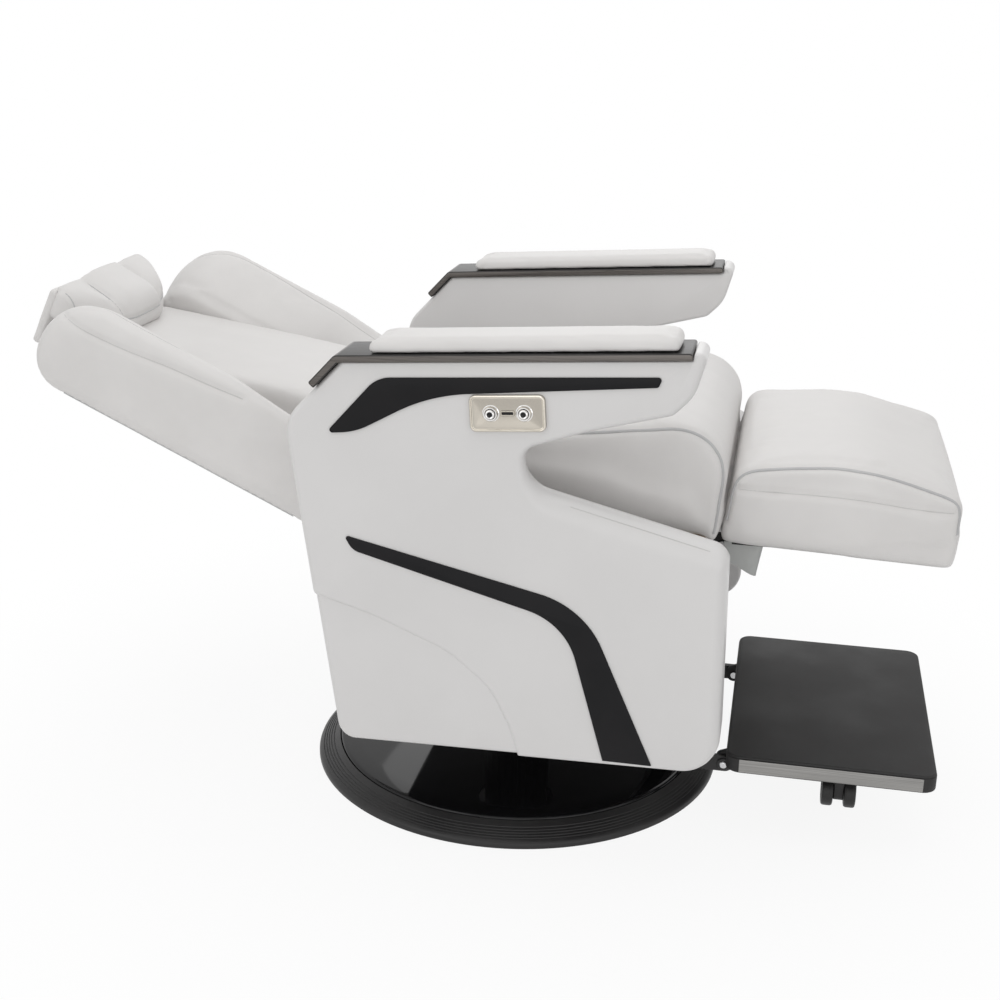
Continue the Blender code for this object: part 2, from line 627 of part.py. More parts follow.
def seat_frame(swivel_axis):
    reach = FRAME_Y - SEAT_GAP
    for name, x in (("rear", -CROSS_X), ("front", CROSS_X)):
        low = (x - CROSS_WIDTH / 2, -reach, CROSS_Z)
        high = (x + CROSS_WIDTH / 2, reach, CROSS_Z + CROSS_HEIGHT)
        place(f"seat_cross_{name}", bevelled(box_mesh(low, high), CROSS_ROUND, 1), BLACK_PAINT, swivel_axis)
    top = SEAT_PAN_Z - SEAT_GAP
    ear = HINGE_EAR + FRAME_EAR_WALL
    hook = LEG_EAR + 0.0002
    outline = [
        (RECLINE_X + FRAME_HEEL, FRAME_FOOT, 0.02),
        (FRONT_COVER_X - FRAME_NOSE, FRAME_FOOT, 0.02),
        (FRONT_COVER_X - FRAME_NOSE, LEG_Z - hook, 0.008),
        (LEG_X + hook, LEG_Z - hook, LEG_EAR),
        (LEG_X + hook, LEG_Z + hook, LEG_EAR),
        (LEG_X - FRAME_BROW, top, 0.01),
        (RECLINE_X + FRAME_SADDLE, top, 0.01),
        (RECLINE_X + ear, RECLINE_Z + ear, HINGE_EAR),
        (RECLINE_X - ear, RECLINE_Z + ear, HINGE_EAR),
        (RECLINE_X - ear, RECLINE_Z - FRAME_NECK, 0.03),
    ]
    slab = plate_mesh(rounded(outline), "Y", FRAME_Y, FRAME_OUT_Y)
    holes = []
    for radius, x, z in ((PIN_RADIUS, RECLINE_X, RECLINE_Z), (LEG_PIN_RADIUS, LEG_X, LEG_Z)):
        holes.append(rod_mesh(radius + SEAT_GAP, "Y", FRAME_Y - CUT_PAST, FRAME_OUT_Y + CUT_PAST, (x, z)))
    # each shell hangs on a box arm that stands out from the side plate
    arm = box_mesh(
        (BRACKET_REAR, FRAME_OUT_Y - WELD, CROSS_Z + BRACKET_LOW),
        (BRACKET_FRONT, SHELL_IN_Y - SEAT_GAP, CROSS_Z + BRACKET_HIGH),
    )
    side_plate = combine("side_plate", combine("side_plate", slab, holes), [arm], "UNION")
    for name, side in SIDES:
        place(f"seat_side_{name}", mirrored(side_plate, side), BLACK_PAINT, swivel_axis)
        for pin, radius, x, z in (
            ("recline_pin", PIN_RADIUS, RECLINE_X, RECLINE_Z),
            ("leg_pin", LEG_PIN_RADIUS, LEG_X, LEG_Z),
        ):
            bar = rod_mesh(radius, "Y", EAR_IN_Y - PIN_PROUD, FRAME_OUT_Y + PIN_PROUD, (x, z))
            place(f"{pin}_{name}", mirrored(bar, side), STEEL, swivel_axis)
    low = (SEAT_REAR_X + SEAT_PAN_REAR, -SEAT_WIDTH / 2 + SEAT_PAN_INSET, SEAT_PAN_Z)
    high = (LEG_X - SEAT_PAN_NOSE, SEAT_WIDTH / 2 - SEAT_PAN_INSET, SEAT_PAN_Z + SEAT_PAN_THICK)
    place("seat_pan", bevelled(box_mesh(low, high), 0.002, 1), PLYWOOD, swivel_axis)


def seat_cushion(swivel_axis):
    under = SEAT_PAN_Z + SEAT_PAN_THICK + SEAT_GAP
    corners = [
        (SEAT_REAR_X, under, 0.012),
        (SEAT_FRONT_X - SEAT_FOOT_TUCK, under, 0.014),
        (SEAT_FRONT_X, SEAT_FRONT_TOP - SEAT_CROWN / 2, SEAT_FRONT_ROLL),
        (SEAT_REAR_X, SEAT_REAR_TOP - SEAT_CROWN / 2, 0.030),
    ]
    place("seat_cushion", cushion_mesh(corners, SEAT_WIDTH / 2, SEAT_CROWN, SEAT_EDGE), WHITE_LEATHER, swivel_axis)


# Side shells and armrests


def arm_point(along, above):
    """A point above the arm's top line, counted from the bend at its rear end."""
    return (
        ARM_REAR_X + along * math.cos(ARM_RISE) - above * math.sin(ARM_RISE),
        ARM_REAR_Z + along * math.sin(ARM_RISE) + above * math.cos(ARM_RISE),
    )


def shell_corners():
    nose = arm_point((ARM_FRONT_X - ARM_REAR_X) / math.cos(ARM_RISE), 0)
    rear_drop = (ARM_REAR_X - SHELL_REAR) * math.tan(RAIL_TAIL_SLOPE)
    return [
        (SHELL_REAR_FOOT, SHELL_FOOT - 0.002, 0.030),
        (SHELL_FRONT + 0.001, SHELL_FOOT + 0.003, 0.055),
        (SHELL_FRONT - 0.006, SHELL_SHOULDER, 0.022),
        (NOTCH_X + 0.008, SHELL_SHOULDER + SHOULDER_RISE, 0.045),
        (NOTCH_X - 0.004, nose[1] - ARM_DEPTH_REAR, 0.020),
        (ARM_FRONT_X - ARM_CHIN, nose[1] - ARM_DEPTH_FRONT, 0.030),
        (*nose, 0.020),
        (ARM_REAR_X, ARM_REAR_Z, 0.012),
        (SHELL_REAR, ARM_REAR_Z - rear_drop, 0.055),
    ]


def side_shells(swivel_axis):
    corners = shell_corners()
    block = plate_mesh(rounded(corners), "Y", SHELL_IN_Y - 0.030, SHELL_OUT_Y)
    block = bevelled(block, SHELL_EDGE_ROUND, 2)
    pocket = plate_mesh(rounded(inset(corners, SHELL_WALL)), "Y", SHELL_IN_Y - 0.050, SHELL_OUT_Y - SHELL_WALL)
    trim = box_mesh((-1, SHELL_IN_Y - 0.1, -1), (1, SHELL_IN_Y, 1))
    shell = combine("side_shell", block, [trim, pocket])
    inside = rounded(inset(corners, SHELL_WALL + LINER_GAP))
    liner = plate_mesh(inside, "Y", SHELL_IN_Y, SHELL_IN_Y + LINER_THICK)
    for name, side in SIDES:
        place(f"side_shell_{name}", mirrored(shell, side), WHITE_SHELL, swivel_axis)
        place(f"side_liner_{name}", mirrored(liner, side), WHITE_SHELL, swivel_axis)


def rail_corners():
    length = (ARM_FRONT_X - RAIL_END - ARM_REAR_X) / math.cos(ARM_RISE)
    tail = Vector((-math.cos(RAIL_TAIL_SLOPE), -math.sin(RAIL_TAIL_SLOPE)))
    up_tail = Vector((tail.y, -tail.x))
    up_arm = Vector((-math.sin(ARM_RISE), math.cos(ARM_RISE)))
    bend = Vector((ARM_REAR_X, ARM_REAR_Z))
    mitre = (up_arm + up_tail) / (1 + up_arm.dot(up_tail))
    tip = bend + tail * RAIL_TAIL
    return [
        (*arm_point(length, SEAT_GAP), 0.002),
        (*arm_point(length, RAIL_THICK), 0.006),
        (*(bend + mitre * RAIL_THICK), 0.016),
        (*(tip + up_tail * RAIL_THICK), 0.004),
        (*(tip + up_tail * SEAT_GAP), 0.001),
        (*(bend + mitre * SEAT_GAP), 0.010),
    ]


def armrests(swivel_axis):
    low, high = SHELL_IN_Y - RAIL_OVERHANG, SHELL_OUT_Y + RAIL_OVERHANG
    rail = bevelled(plate_mesh(rounded(rail_corners()), "Y", low, high), 0.002, 1)
    corners = []
    base = RAIL_THICK + SEAT_GAP
    for along, above, radius in (
        (PAD_START, base, 0.004),
        (PAD_START + PAD_LENGTH, base, 0.004),
        (PAD_START + PAD_LENGTH, base + PAD_THICK - PAD_CROWN, 0.010),
        (PAD_START, base + PAD_THICK - PAD_CROWN, 0.011),
    ):
        corners.append((*arm_point(along, above), radius))
    pad = cushion_mesh(corners, PAD_WIDTH / 2, PAD_CROWN, PAD_EDGE)
    pad.transform(Matrix.Translation((0, (low + high) / 2, 0)))
    for name, side in SIDES:
        place(f"arm_rail_{name}", mirrored(rail, side), BRONZE_RAIL, swivel_axis)
        place(f"arm_pad_{name}", mirrored(pad, side), WHITE_LEATHER, swivel_axis)


def inlays(swivel_axis):
    low = SHELL_OUT_Y + SEAT_GAP
    upper = []
    for along, drop, radius in (
        (UPPER_TAIL, UPPER_TAIL_DROP, 0.004),
        (UPPER_HEEL, UPPER_HEEL_DROP, 0.100),
        (UPPER_BEND, UPPER_BEND_DROP, 0.250),
        (UPPER_CHIN, UPPER_CHIN_DROP, 0.004),
        (UPPER_TIP, UPPER_TIP_DROP, 0.004),
        (UPPER_WAIST, UPPER_WAIST_DROP, 0.045),
    ):
        upper.append((*arm_point(along, -drop), radius))
    foot = SHELL_FOOT + LOWER_FOOT_RISE
    knee = SHELL_SHOULDER - LOWER_KNEE_DROP
    tail = knee + LOWER_TAIL_RISE
    lower = [
        (LOWER_FOOT_X, foot, 0.0),
        (LOWER_FOOT_X + LOWER_FOOT_WIDTH, foot, 0.0),
        (LOWER_KNEE_X, knee, 0.125),
        (LOWER_TAIL_X, tail, 0.003),
        (LOWER_TAIL_X + LOWER_HEEL_X, tail - LOWER_HEEL_RISE, 0.010),
        (LOWER_KNEE_X + LOWER_HOLLOW_X, knee - LOWER_HOLLOW_DROP, 0.095),
    ]
    for piece, corners in (("upper", upper), ("lower", lower)):
        strip = plate_mesh(rounded(corners, INLAY_ARC_STEPS), "Y", low, low + INLAY_THICK)
        for name, side in SIDES:
            place(f"{piece}_inlay_{name}", mirrored(strip, side), BLACK_INLAY, swivel_axis)


def control_plate(swivel_axis):
    """Control plate, socket and two push buttons on the outside of the right arm."""
    tilt = Matrix.Rotation(CONTROL_TILT, 2)
    middle = Vector(arm_point(CONTROL_ALONG, -CONTROL_BELOW))
    half_a, half_b = CONTROL_LENGTH / 2, CONTROL_HEIGHT / 2
    corners = []
    for a, b in ((-half_a, -half_b), (half_a, -half_b), (half_a, half_b), (-half_a, half_b)):
        corners.append((*(middle + tilt @ Vector((a, b))), CONTROL_CORNER))
    back = -(SHELL_OUT_Y + SEAT_GAP)
    face = back - CONTROL_THICK
    bezel = bevelled(plate_mesh(rounded(corners), "Y", face, back), CONTROL_ROUND, 1)
    spots = [middle + tilt @ Vector((a, 0)) for a in (-BUTTON_SPACING / 2, BUTTON_SPACING / 2)]
    collars = [rod_mesh(COLLAR_RADIUS, "Y", face - COLLAR_HEIGHT, face + WELD / 2, spot) for spot in spots]
    bezel = combine("control_bezel", bezel, collars, "UNION")
    bores = [rod_mesh(BUTTON_RADIUS + RUN_GAP, "Y", face - CUT_PAST, back + CUT_PAST, spot) for spot in spots]
    place("control_bezel", combine("control_bezel", bezel, bores), NICKEL, swivel_axis)
    half_a, half_b = SOCKET_LENGTH / 2, SOCKET_HEIGHT / 2
    corners = []
    for a, b in ((-half_a, -half_b), (half_a, -half_b), (half_a, half_b), (-half_a, half_b)):
        corners.append((*(middle + tilt @ Vector((a, b))), SOCKET_CORNER))
    low = face - SEAT_GAP - SOCKET_THICK
    socket = plate_mesh(rounded(corners, 2), "Y", low, face - SEAT_GAP)
    slot = box_mesh(
        (middle.x - half_a * SOCKET_SLOT_SHARE, low - CUT_PAST, middle.y - SOCKET_SLOT / 2),
        (middle.x + half_a * SOCKET_SLOT_SHARE, low + SOCKET_THICK * 0.6, middle.y + SOCKET_SLOT / 2),
    )
    place("socket_insert", combine("socket_insert", socket, [slot]), BLACK_GLOSS, swivel_axis)
    for name, spot in zip(("rear", "front"), spots):
        axis = joint(f"button_{name}_axis", (spot.x, face, spot.y))
        inner = back - BUTTON_TRAVEL - 2 * SEAT_GAP
        plunger = rod_mesh(BUTTON_RADIUS, "Y", face - COLLAR_HEIGHT - BUTTON_PROUD, inner, spot)
        place(f"button_{name}", bevelled(plunger, 0.001, 1), BLACK_GLOSS, axis)


def body_covers(swivel_axis):
    half = SHELL_IN_Y - SEAT_GAP
    lean = (SHELL_REAR - SHELL_REAR_FOOT) / (ARM_REAR_Z - SHELL_REAR_DROP - SHELL_FOOT)
    foot = SHELL_REAR_FOOT + REAR_COVER_INSET
    top = foot + lean * (REAR_COVER_TOP - COVER_FOOT)
    rear = [(foot, COVER_FOOT), (foot + COVER_WALL, COVER_FOOT)]
    rear += [(top + COVER_WALL, REAR_COVER_TOP), (top, REAR_COVER_TOP)]
    place("rear_cover", plate_mesh(rear, "Y", -half, half), WHITE_SHELL, swivel_axis)
    low = (FRONT_COVER_X - COVER_WALL, -half, COVER_FOOT)
    place("front_cover", box_mesh(low, (FRONT_COVER_X, half, FRONT_COVER_TOP)), WHITE_SHELL, swivel_axis)
    low = (foot + COVER_WALL + SEAT_GAP, -half, COVER_FOOT)
    slab = box_mesh(low, (BODY_FLOOR_FRONT, half, COVER_FOOT + COVER_WALL))
    hole = rod_mesh(COLUMN_HOLE, "Z", COVER_FOOT - CUT_PAST, COVER_FOOT + COVER_WALL + CUT_PAST, steps=TURN_STEPS)
    place("body_floor", combine("body_floor", slab, [hole]), BLACK_PAINT, swivel_axis)


# Back, modelled upright about its hinge and laid down by the hinge's own turn


def back_frame(recline_axis):
    rear = BACK_REAR + BACK_SHELL_THICK + SEAT_GAP
    front = rear + BACK_BAR_THICK
    ear = HINGE_EAR + 0.001
    strap = [
        (ear, -ear, HINGE_EAR),
        (ear, ear, HINGE_EAR),
        (front, STRAP_FRONT, 0.02),
        (front, BACK_BAR_TOP, 0.0),
        (rear, BACK_BAR_TOP, 0.0),
        (rear, STRAP_REAR, 0.02),
        (-ear, -ear, HINGE_EAR),
    ]
    bar = plate_mesh(rounded(strap), "Y", EAR_IN_Y, EAR_OUT_Y)
    pin_v = LEVER_RADIUS * math.sin(LEVER_MID - BACK_LEAN)
    pin_u = -LEVER_RADIUS * math.cos(LEVER_MID - BACK_LEAN)
    half = LEVER_WIDTH / 2
    lever = [
        (pin_v - half, pin_u - half, half - 0.0002),
        (pin_v + half, pin_u - half, half - 0.0002),
        (pin_v + half, pin_u + LEVER_NECK, 0.01),
        (front, BACK_FOOT - LEVER_ROOT, 0.01),
        (front, LEVER_TOP, 0.0),
        (rear, LEVER_TOP, 0.0),
        (rear, BACK_FOOT - LEVER_ROOT, 0.01),
        (pin_v - half, pin_u + LEVER_NECK, 0.01),
    ]
    lever = plate_mesh(rounded(lever), "Y", -LEVER_THICK / 2, LEVER_THICK / 2)
    reach = EAR_OUT_Y - WELD
    crosses = []
    for low in (STRAP_FRONT, BACK_BAR_TOP - BACK_CROSS_DROP - BACK_CROSS):
        crosses.append(box_mesh((rear + WELD / 2, -reach, low), (front - WELD / 2, reach, low + BACK_CROSS)))
    frame = combine("back_frame", mirrored(bar, 1), [mirrored(bar, -1), *crosses, lever], "UNION")
    holes = [rod_mesh(PIN_RADIUS + RUN_GAP, "Y", -0.3, 0.3)]
    holes.append(rod_mesh(LEVER_PIN_RADIUS + SEAT_GAP, "Y", -0.1, 0.1, (pin_v, pin_u)))
    place("back_frame", combine("back_frame", frame, holes), BLACK_PAINT, recline_axis, local=True)
    half = LEVER_THICK / 2 + 2 * RUN_GAP + YOKE_CHEEK + YOKE_PLAY
    bar = rod_mesh(LEVER_PIN_RADIUS, "Y", -half, half, (pin_v, pin_u))
    place("lever_pin", bar, STEEL, recline_axis, local=True)


def lumbar_height():
    return BACK_FOOT + LUMBAR_SHARE * (BACK_PAD_TOP - BACK_FOOT)


def back_cushions(recline_axis):
    half = BACK_WIDTH / 2
    pad_half = EAR_IN_Y - 2 * RUN_GAP
    wing_half = (half - pad_half - SEAT_GAP) / 2
    rear_face = BACK_REAR + BACK_SHELL_THICK
    skin = EAR_OUT_Y
    outline = [(-skin, BACK_FOOT, 0.01), (skin, BACK_FOOT, 0.01), (skin, BACK_TOP, 0.02), (-skin, BACK_TOP, 0.02)]
    panel = plate_mesh(rounded(outline), "X", BACK_REAR, rear_face)
    place("back_shell", panel, WHITE_LEATHER, recline_axis, local=True)
    rear = rear_face + SEAT_GAP + BACK_BAR_THICK + SEAT_GAP
    pad = [
        (rear, BACK_FOOT, 0.008),
        (BACK_PAD_FRONT, BACK_FOOT, 0.025),
        (LUMBAR, lumbar_height(), LUMBAR_ROUND),
        (HEAD_DISH, BACK_PAD_TOP, 0.006),
        (rear, BACK_PAD_TOP, 0.004),
    ]
    middle = cushion_mesh(pad, pad_half, 0.0, BACK_PAD_EDGE)
    place("back_pad", middle, WHITE_LEATHER, recline_axis, local=True)
    roll = [
        (BACK_REAR, WING_FOOT, 0.020),
        (WING_FOOT_FRONT, WING_FOOT, 0.030),
        (WING_FRONT, WING_BELLY, 0.300),
        (WING_FRONT, BACK_TOP, 0.084),
        (BACK_REAR, BACK_TOP, 0.058),
    ]
    wing = cushion_mesh(roll, wing_half, 0.0, WING_OUT_ROUND, WING_IN_ROUND)
    wing.transform(Matrix.Translation((0, half - wing_half, 0)))
    for name, side in SIDES:
        place(f"back_wing_{name}", mirrored(wing, side), WHITE_LEATHER, recline_axis, local=True)


def pad_front(height):
    """How far forward the back pad stands at a height along the back, above its lumbar swell."""
    lumbar_at = lumbar_height()
    return LUMBAR + (HEAD_DISH - LUMBAR) * (height - lumbar_at) / (BACK_PAD_TOP - lumbar_at)


def headrest(headrest_axis):
    behind = pad_front(PILLOW_FOOT) + PILLOW_GAP
    step = BACK_PAD_TOP + PILLOW_STEP
    above = pad_front(step) + PILLOW_GAP
    pillow = [
        (behind, PILLOW_FOOT, 0.006),
        (PILLOW_FRONT, PILLOW_FOOT + PILLOW_RISE, 0.044),
        (PILLOW_FRONT - PILLOW_LEAN, PILLOW_TOP, 0.026),
        (above, PILLOW_TOP, 0.008),
        (above, step, 0.010),
    ]
    puff = cushion_mesh(pillow, PILLOW_WIDTH / 2, 0.0, PILLOW_EDGE)
    place("headrest_pillow", puff, WHITE_LEATHER, headrest_axis, local=True)
    front = above - SEAT_GAP
    low = PILLOW_TOP - FLAP_THICK
    flap = [
        (front - FLAP_REACH, low, 0.005),
        (front, low, 0.002),
        (front, PILLOW_TOP - FLAP_SINK, 0.002),
        (front - FLAP_REACH, PILLOW_TOP - FLAP_SINK, 0.005),
    ]
    tongue = plate_mesh(rounded(flap, 3), "Y", -FLAP_WIDTH / 2, FLAP_WIDTH / 2)
    place("headrest_flap", tongue, WHITE_LEATHER, headrest_axis, local=True)


# Recline drive


def recline_drive(swivel_axis, rod_axis):
    bore_end = DRIVE_TUBE_FRONT - DRIVE_TUBE_END
    tube = rod_mesh(DRIVE_TUBE_RADIUS, "X", DRIVE_TUBE_REAR, DRIVE_TUBE_FRONT, (0, DRIVE_Z))
    bore = rod_mesh(ROD_RADIUS + RUN_GAP, "X", DRIVE_TUBE_REAR - CUT_PAST, bore_end, (0, DRIVE_Z))
    place("drive_tube", combine("drive_tube", tube, [bore]), STEEL, swivel_axis)
    low = (CROSS_X - MOTOR_REAR, -MOTOR_HALF, CROSS_Z + CROSS_HEIGHT + SEAT_GAP)
    high = (CROSS_X + MOTOR_FRONT, MOTOR_HALF, DRIVE_Z - DRIVE_TUBE_RADIUS - SEAT_GAP)
    place("recline_motor", bevelled(box_mesh(low, high), CROSS_ROUND, 1), BLACK_PAINT, swivel_axis)
    pin_x = RECLINE_X + LEVER_PIN_X
    slot_high = (LEVER_PIN_LOW - LEVER_PIN_HIGH) / 2 + LEVER_PIN_RADIUS + YOKE_PLAY
    slot_wide = LEVER_PIN_RADIUS + YOKE_PLAY
    inner = LEVER_THICK / 2 + 2 * RUN_GAP
    outer = inner + YOKE_CHEEK
    tall = slot_high + YOKE_WALL
    rod = rod_mesh(ROD_RADIUS, "X", YOKE_X - YOKE_OVERLAP, ROD_FRONT_X, (0, DRIVE_Z))
    block = box_mesh((YOKE_X - YOKE_BLOCK, -outer, DRIVE_Z - tall), (YOKE_X, outer, DRIVE_Z + tall))
    cheeks = []
    for side in (-1, 1):
        y = side * (inner + outer) / 2
        cheeks.append(
            box_mesh(
                (pin_x - slot_wide - YOKE_TIP, y - YOKE_CHEEK / 2, DRIVE_Z - tall),
                (YOKE_X - YOKE_OVERLAP, y + YOKE_CHEEK / 2, DRIVE_Z + tall),
            )
        )
    yoke = combine("recline_rod", rod, [block] + cheeks, "UNION")
    slot = box_mesh(
        (pin_x - slot_wide, -outer - CUT_PAST, DRIVE_Z - slot_high),
        (pin_x + slot_wide, outer + CUT_PAST, DRIVE_Z + slot_high),
    )
    place("recline_rod", combine("recline_rod", yoke, [slot]), STEEL, rod_axis)


# Leg rest


def leg_rest(leg_axis):
    board_top = LEG_UNDER - SEAT_GAP
    board_under = board_top - LEG_BOARD_THICK
    half = LEG_WIDTH / 2 - LEG_BOARD_INSET
    rear = LEG_X + LEG_BOARD_REAR
    board = box_mesh((rear, -half, board_under), (LEG_REAR_X + LEG_LENGTH - LEG_BOARD_INSET, half, board_top))
    ear = LEG_EAR - 0.001
    outline = [
        (LEG_X - ear, LEG_Z - ear, ear - 0.0005),
        (LEG_X + ear, LEG_Z - ear, ear - 0.0005),
        (rear + LEG_LUG_LENGTH, LEG_Z, 0.003),
        (rear + LEG_LUG_LENGTH, board_under + WELD, 0.0),
        (LEG_X - ear, board_under + WELD, ear - 0.0005),
    ]
    lug = plate_mesh(rounded(outline), "Y", EAR_IN_Y, EAR_OUT_Y)
    frame = combine("leg_frame", board, [mirrored(lug, 1), mirrored(lug, -1)], "UNION")
    hole = rod_mesh(LEG_PIN_RADIUS + RUN_GAP, "Y", -0.3, 0.3, (LEG_X, LEG_Z))
    place("leg_frame", combine("leg_frame", frame, [hole]), BLACK_PAINT, leg_axis)
    front = LEG_REAR_X + LEG_LENGTH
    corners = [
        (LEG_REAR_X, LEG_UNDER, 0.012),
        (front - LEG_FOOT_TUCK, LEG_UNDER, 0.015),
        (front + LEG_TOP_REACH, LEG_TOP, 0.052),
        (LEG_REAR_X, LEG_TOP, 0.034),
    ]
    place("leg_cushion", cushion_mesh(corners, LEG_WIDTH / 2, LEG_CROWN, LEG_EDGE), WHITE_LEATHER, leg_axis)
    top = board_under - SEAT_GAP
    run, drop = APRON_LENGTH * math.cos(APRON_SLOPE), APRON_LENGTH * math.sin(APRON_SLOPE)
    sheet = [
        (APRON_X, top),
        (APRON_X + run, top - drop),
        (APRON_X + run + APRON_THICK, top - drop),
        (APRON_X + APRON_THICK, top),
    ]
    apron = plate_mesh(sheet, "Y", -APRON_WIDTH / 2, APRON_WIDTH / 2)
    place("leg_apron", apron, WHITE_LEATHER, leg_axis)


# Footrest


def foot_arms(swivel_axis):
    half = FOOT_ARM_BAR / 2
    tip = FOOT_PIVOT_X + half + FOOT_ARM_TIP
    outline = [
        (FOOT_ARM_X - FOOT_ARM_WIDTH / 2, FOOT_PIVOT_Z - half, 0.010),
        (tip, FOOT_PIVOT_Z - half, half - 0.0005),
        (tip, FOOT_PIVOT_Z + half, half - 0.0005),
        (FOOT_ARM_X + FOOT_ARM_WIDTH / 2, FOOT_PIVOT_Z + half, 0.010),
        (FOOT_ARM_X + FOOT_ARM_WIDTH / 2, FRAME_FOOT + FOOT_ARM_REACH, 0.006),
        (FOOT_ARM_X - FOOT_ARM_WIDTH / 2, FRAME_FOOT + FOOT_ARM_REACH, 0.006),
    ]
    bar = plate_mesh(rounded(outline), "Y", FOOT_ARM_IN_Y, FOOT_ARM_OUT_Y)
    hole = rod_mesh(BOLT_RADIUS + SEAT_GAP, "Y", 0, 0.3, (FOOT_PIVOT_X, FOOT_PIVOT_Z))
    bar = combine("foot_arm", bar, [hole])
    inside = FOOT_LUG_OUT_Y - FOOT_LUG_THICK - BOLT_PROUD
    shank = rod_mesh(BOLT_RADIUS, "Y", inside, FOOT_ARM_OUT_Y + WELD, (FOOT_PIVOT_X, FOOT_PIVOT_Z))
    head_at = FOOT_ARM_OUT_Y + SEAT_GAP
    head = rod_mesh(BOLT_HEAD_RADIUS, "Y", head_at, head_at + BOLT_HEAD, (FOOT_PIVOT_X, FOOT_PIVOT_Z))
    bolt = combine("foot_bolt", shank, [bevelled(head, 0.0015, 1)], "UNION")
    for name, side in SIDES:
        place(f"foot_arm_{name}", mirrored(bar, side), BLACK_PAINT, swivel_axis)
        place(f"foot_bolt_{name}", mirrored(bolt, side), STEEL, swivel_axis)


def footrest(foot_axis):
    half = FOOT_WIDTH / 2
    front = FOOT_REAR_X + FOOT_LENGTH
    corners = [
        (FOOT_REAR_X, -half, FOOT_CORNER),
        (front, -half, FOOT_CORNER),
        (front, half, FOOT_CORNER),
        (FOOT_REAR_X, half, FOOT_CORNER),
    ]
    tray = bevelled(plate_mesh(rounded(corners), "Z", FOOT_TRAY_UNDER, FOOT_TRAY_TOP), 0.002, 1)
    ceiling = FOOT_TRAY_TOP - FOOT_TRAY_WALL
    pocket = plate_mesh(rounded(inset(corners, FOOT_TRAY_WALL)), "Z", FOOT_TRAY_UNDER - CUT_PAST, ceiling)
    tray = combine("foot_tray", tray, [pocket])
    low = FOOT_PIVOT_Z - FOOT_ARM_BAR / 2
    rear = FOOT_PIVOT_X - FOOT_ARM_BAR / 2
    side_view = [
        (rear, low, FOOT_ARM_BAR / 2 - 0.0005),
        (rear + FOOT_LUG_LENGTH - FOOT_LUG_RUNOUT, low, 0.004),
        (rear + FOOT_LUG_LENGTH, FOOT_TRAY_UNDER, 0.004),
        (rear + FOOT_LUG_LENGTH, ceiling + WELD / 2, 0.0),
        (FOOT_REAR_X + WELD, ceiling + WELD / 2, 0.0),
        (FOOT_REAR_X + WELD, FOOT_TRAY_UNDER + WELD / 2, 0.0),
        (rear, FOOT_PIVOT_Z + FOOT_ARM_BAR / 2, 0.010),
    ]
    lug = plate_mesh(rounded(side_view), "Y", FOOT_LUG_OUT_Y - FOOT_LUG_THICK, FOOT_LUG_OUT_Y)
    tray = combine("foot_tray", tray, [mirrored(lug, 1), mirrored(lug, -1)], "UNION")
    hole = rod_mesh(BOLT_RADIUS + RUN_GAP, "Y", -0.3, 0.3, (FOOT_PIVOT_X, FOOT_PIVOT_Z))
    place("foot_tray", combine("foot_tray", tray, [hole]), BRUSHED_STEEL, foot_axis)
    mat = plate_mesh(rounded(inset(corners, MAT_INSET)), "Z", FOOT_TOP - MAT_THICK, FOOT_TOP)
    place("foot_mat", bevelled(mat, 0.001, 1), BLACK_RUBBER, foot_axis)


def casters(foot_axis):
    centre = WHEEL_LIFT + WHEEL_RADIUS
    ceiling = FOOT_TRAY_TOP - FOOT_TRAY_WALL - SEAT_GAP
    half = WHEEL_SPACE / 2 - RUN_GAP
    for name, side in SIDES:
        y = side * CASTER_Y
        block = box_mesh(
            (CASTER_X - half, y - FORK_DEPTH / 2, FORK_FOOT), (CASTER_X + half, y + FORK_DEPTH / 2, FORK_TOP)
        )
        block = bevelled(block, 0.002, 1)
        stem = rod_mesh(STEM_RADIUS, "Z", FORK_TOP - STEM_WELD, ceiling, (CASTER_X, y))
        fork = combine("caster_fork", block, [stem], "UNION")
        bore = rod_mesh(AXLE_RADIUS + RUN_GAP, "X", CASTER_X - 0.1, CASTER_X + 0.1, (y, centre))
        place(f"caster_fork_{name}", combine("caster_fork", fork, [bore]), BLACK_PAINT, foot_axis)
        axis = joint(f"caster_{name}_axis", (CASTER_X, y, centre))
        pair = []
        for end in (-1, 1):
            near = CASTER_X + end * WHEEL_SPACE / 2
            far = near + end * WHEEL_WIDTH
            wheel = rod_mesh(WHEEL_RADIUS, "X", min(near, far), max(near, far), (y, centre), WHEEL_STEPS)
            pair.append(bevelled(wheel, 0.003, 1))
        reach = WHEEL_SPACE / 2 + WHEEL_WIDTH / 2
        axle = rod_mesh(AXLE_RADIUS, "X", CASTER_X - reach, CASTER_X + reach, (y, centre))
        place(f"caster_wheels_{name}", combine("caster_wheels", axle, pair, "UNION"), BLACK_RUBBER, axis)


lift_axis = joint("lift_axis", (0, 0, 0))
swivel_axis = joint("swivel_axis", (0, 0, 0))
recline_axis = joint("recline_axis", (RECLINE_X, 0, RECLINE_Z), (0, -BACK_LEAN, 0))
headrest_axis = joint("headrest_axis", (RECLINE_X, 0, RECLINE_Z), (0, -BACK_LEAN, 0))
leg_axis = joint("leg_axis", (LEG_X, 0, LEG_Z))
rod_axis = joint("rod_axis", (RECLINE_X, 0, DRIVE_Z))
foot_axis = joint("foot_axis", (FOOT_PIVOT_X, 0, FOOT_PIVOT_Z))
floor_plate()
lift_column(lift_axis)
turn_plate(swivel_axis)
seat_frame(swivel_axis)
seat_cushion(swivel_axis)
side_shells(swivel_axis)
armrests(swivel_axis)
inlays(swivel_axis)
control_plate(swivel_axis)
body_covers(swivel_axis)
back_frame(recline_axis)
back_cushions(recline_axis)
headrest(headrest_axis)
recline_drive(swivel_axis, rod_axis)
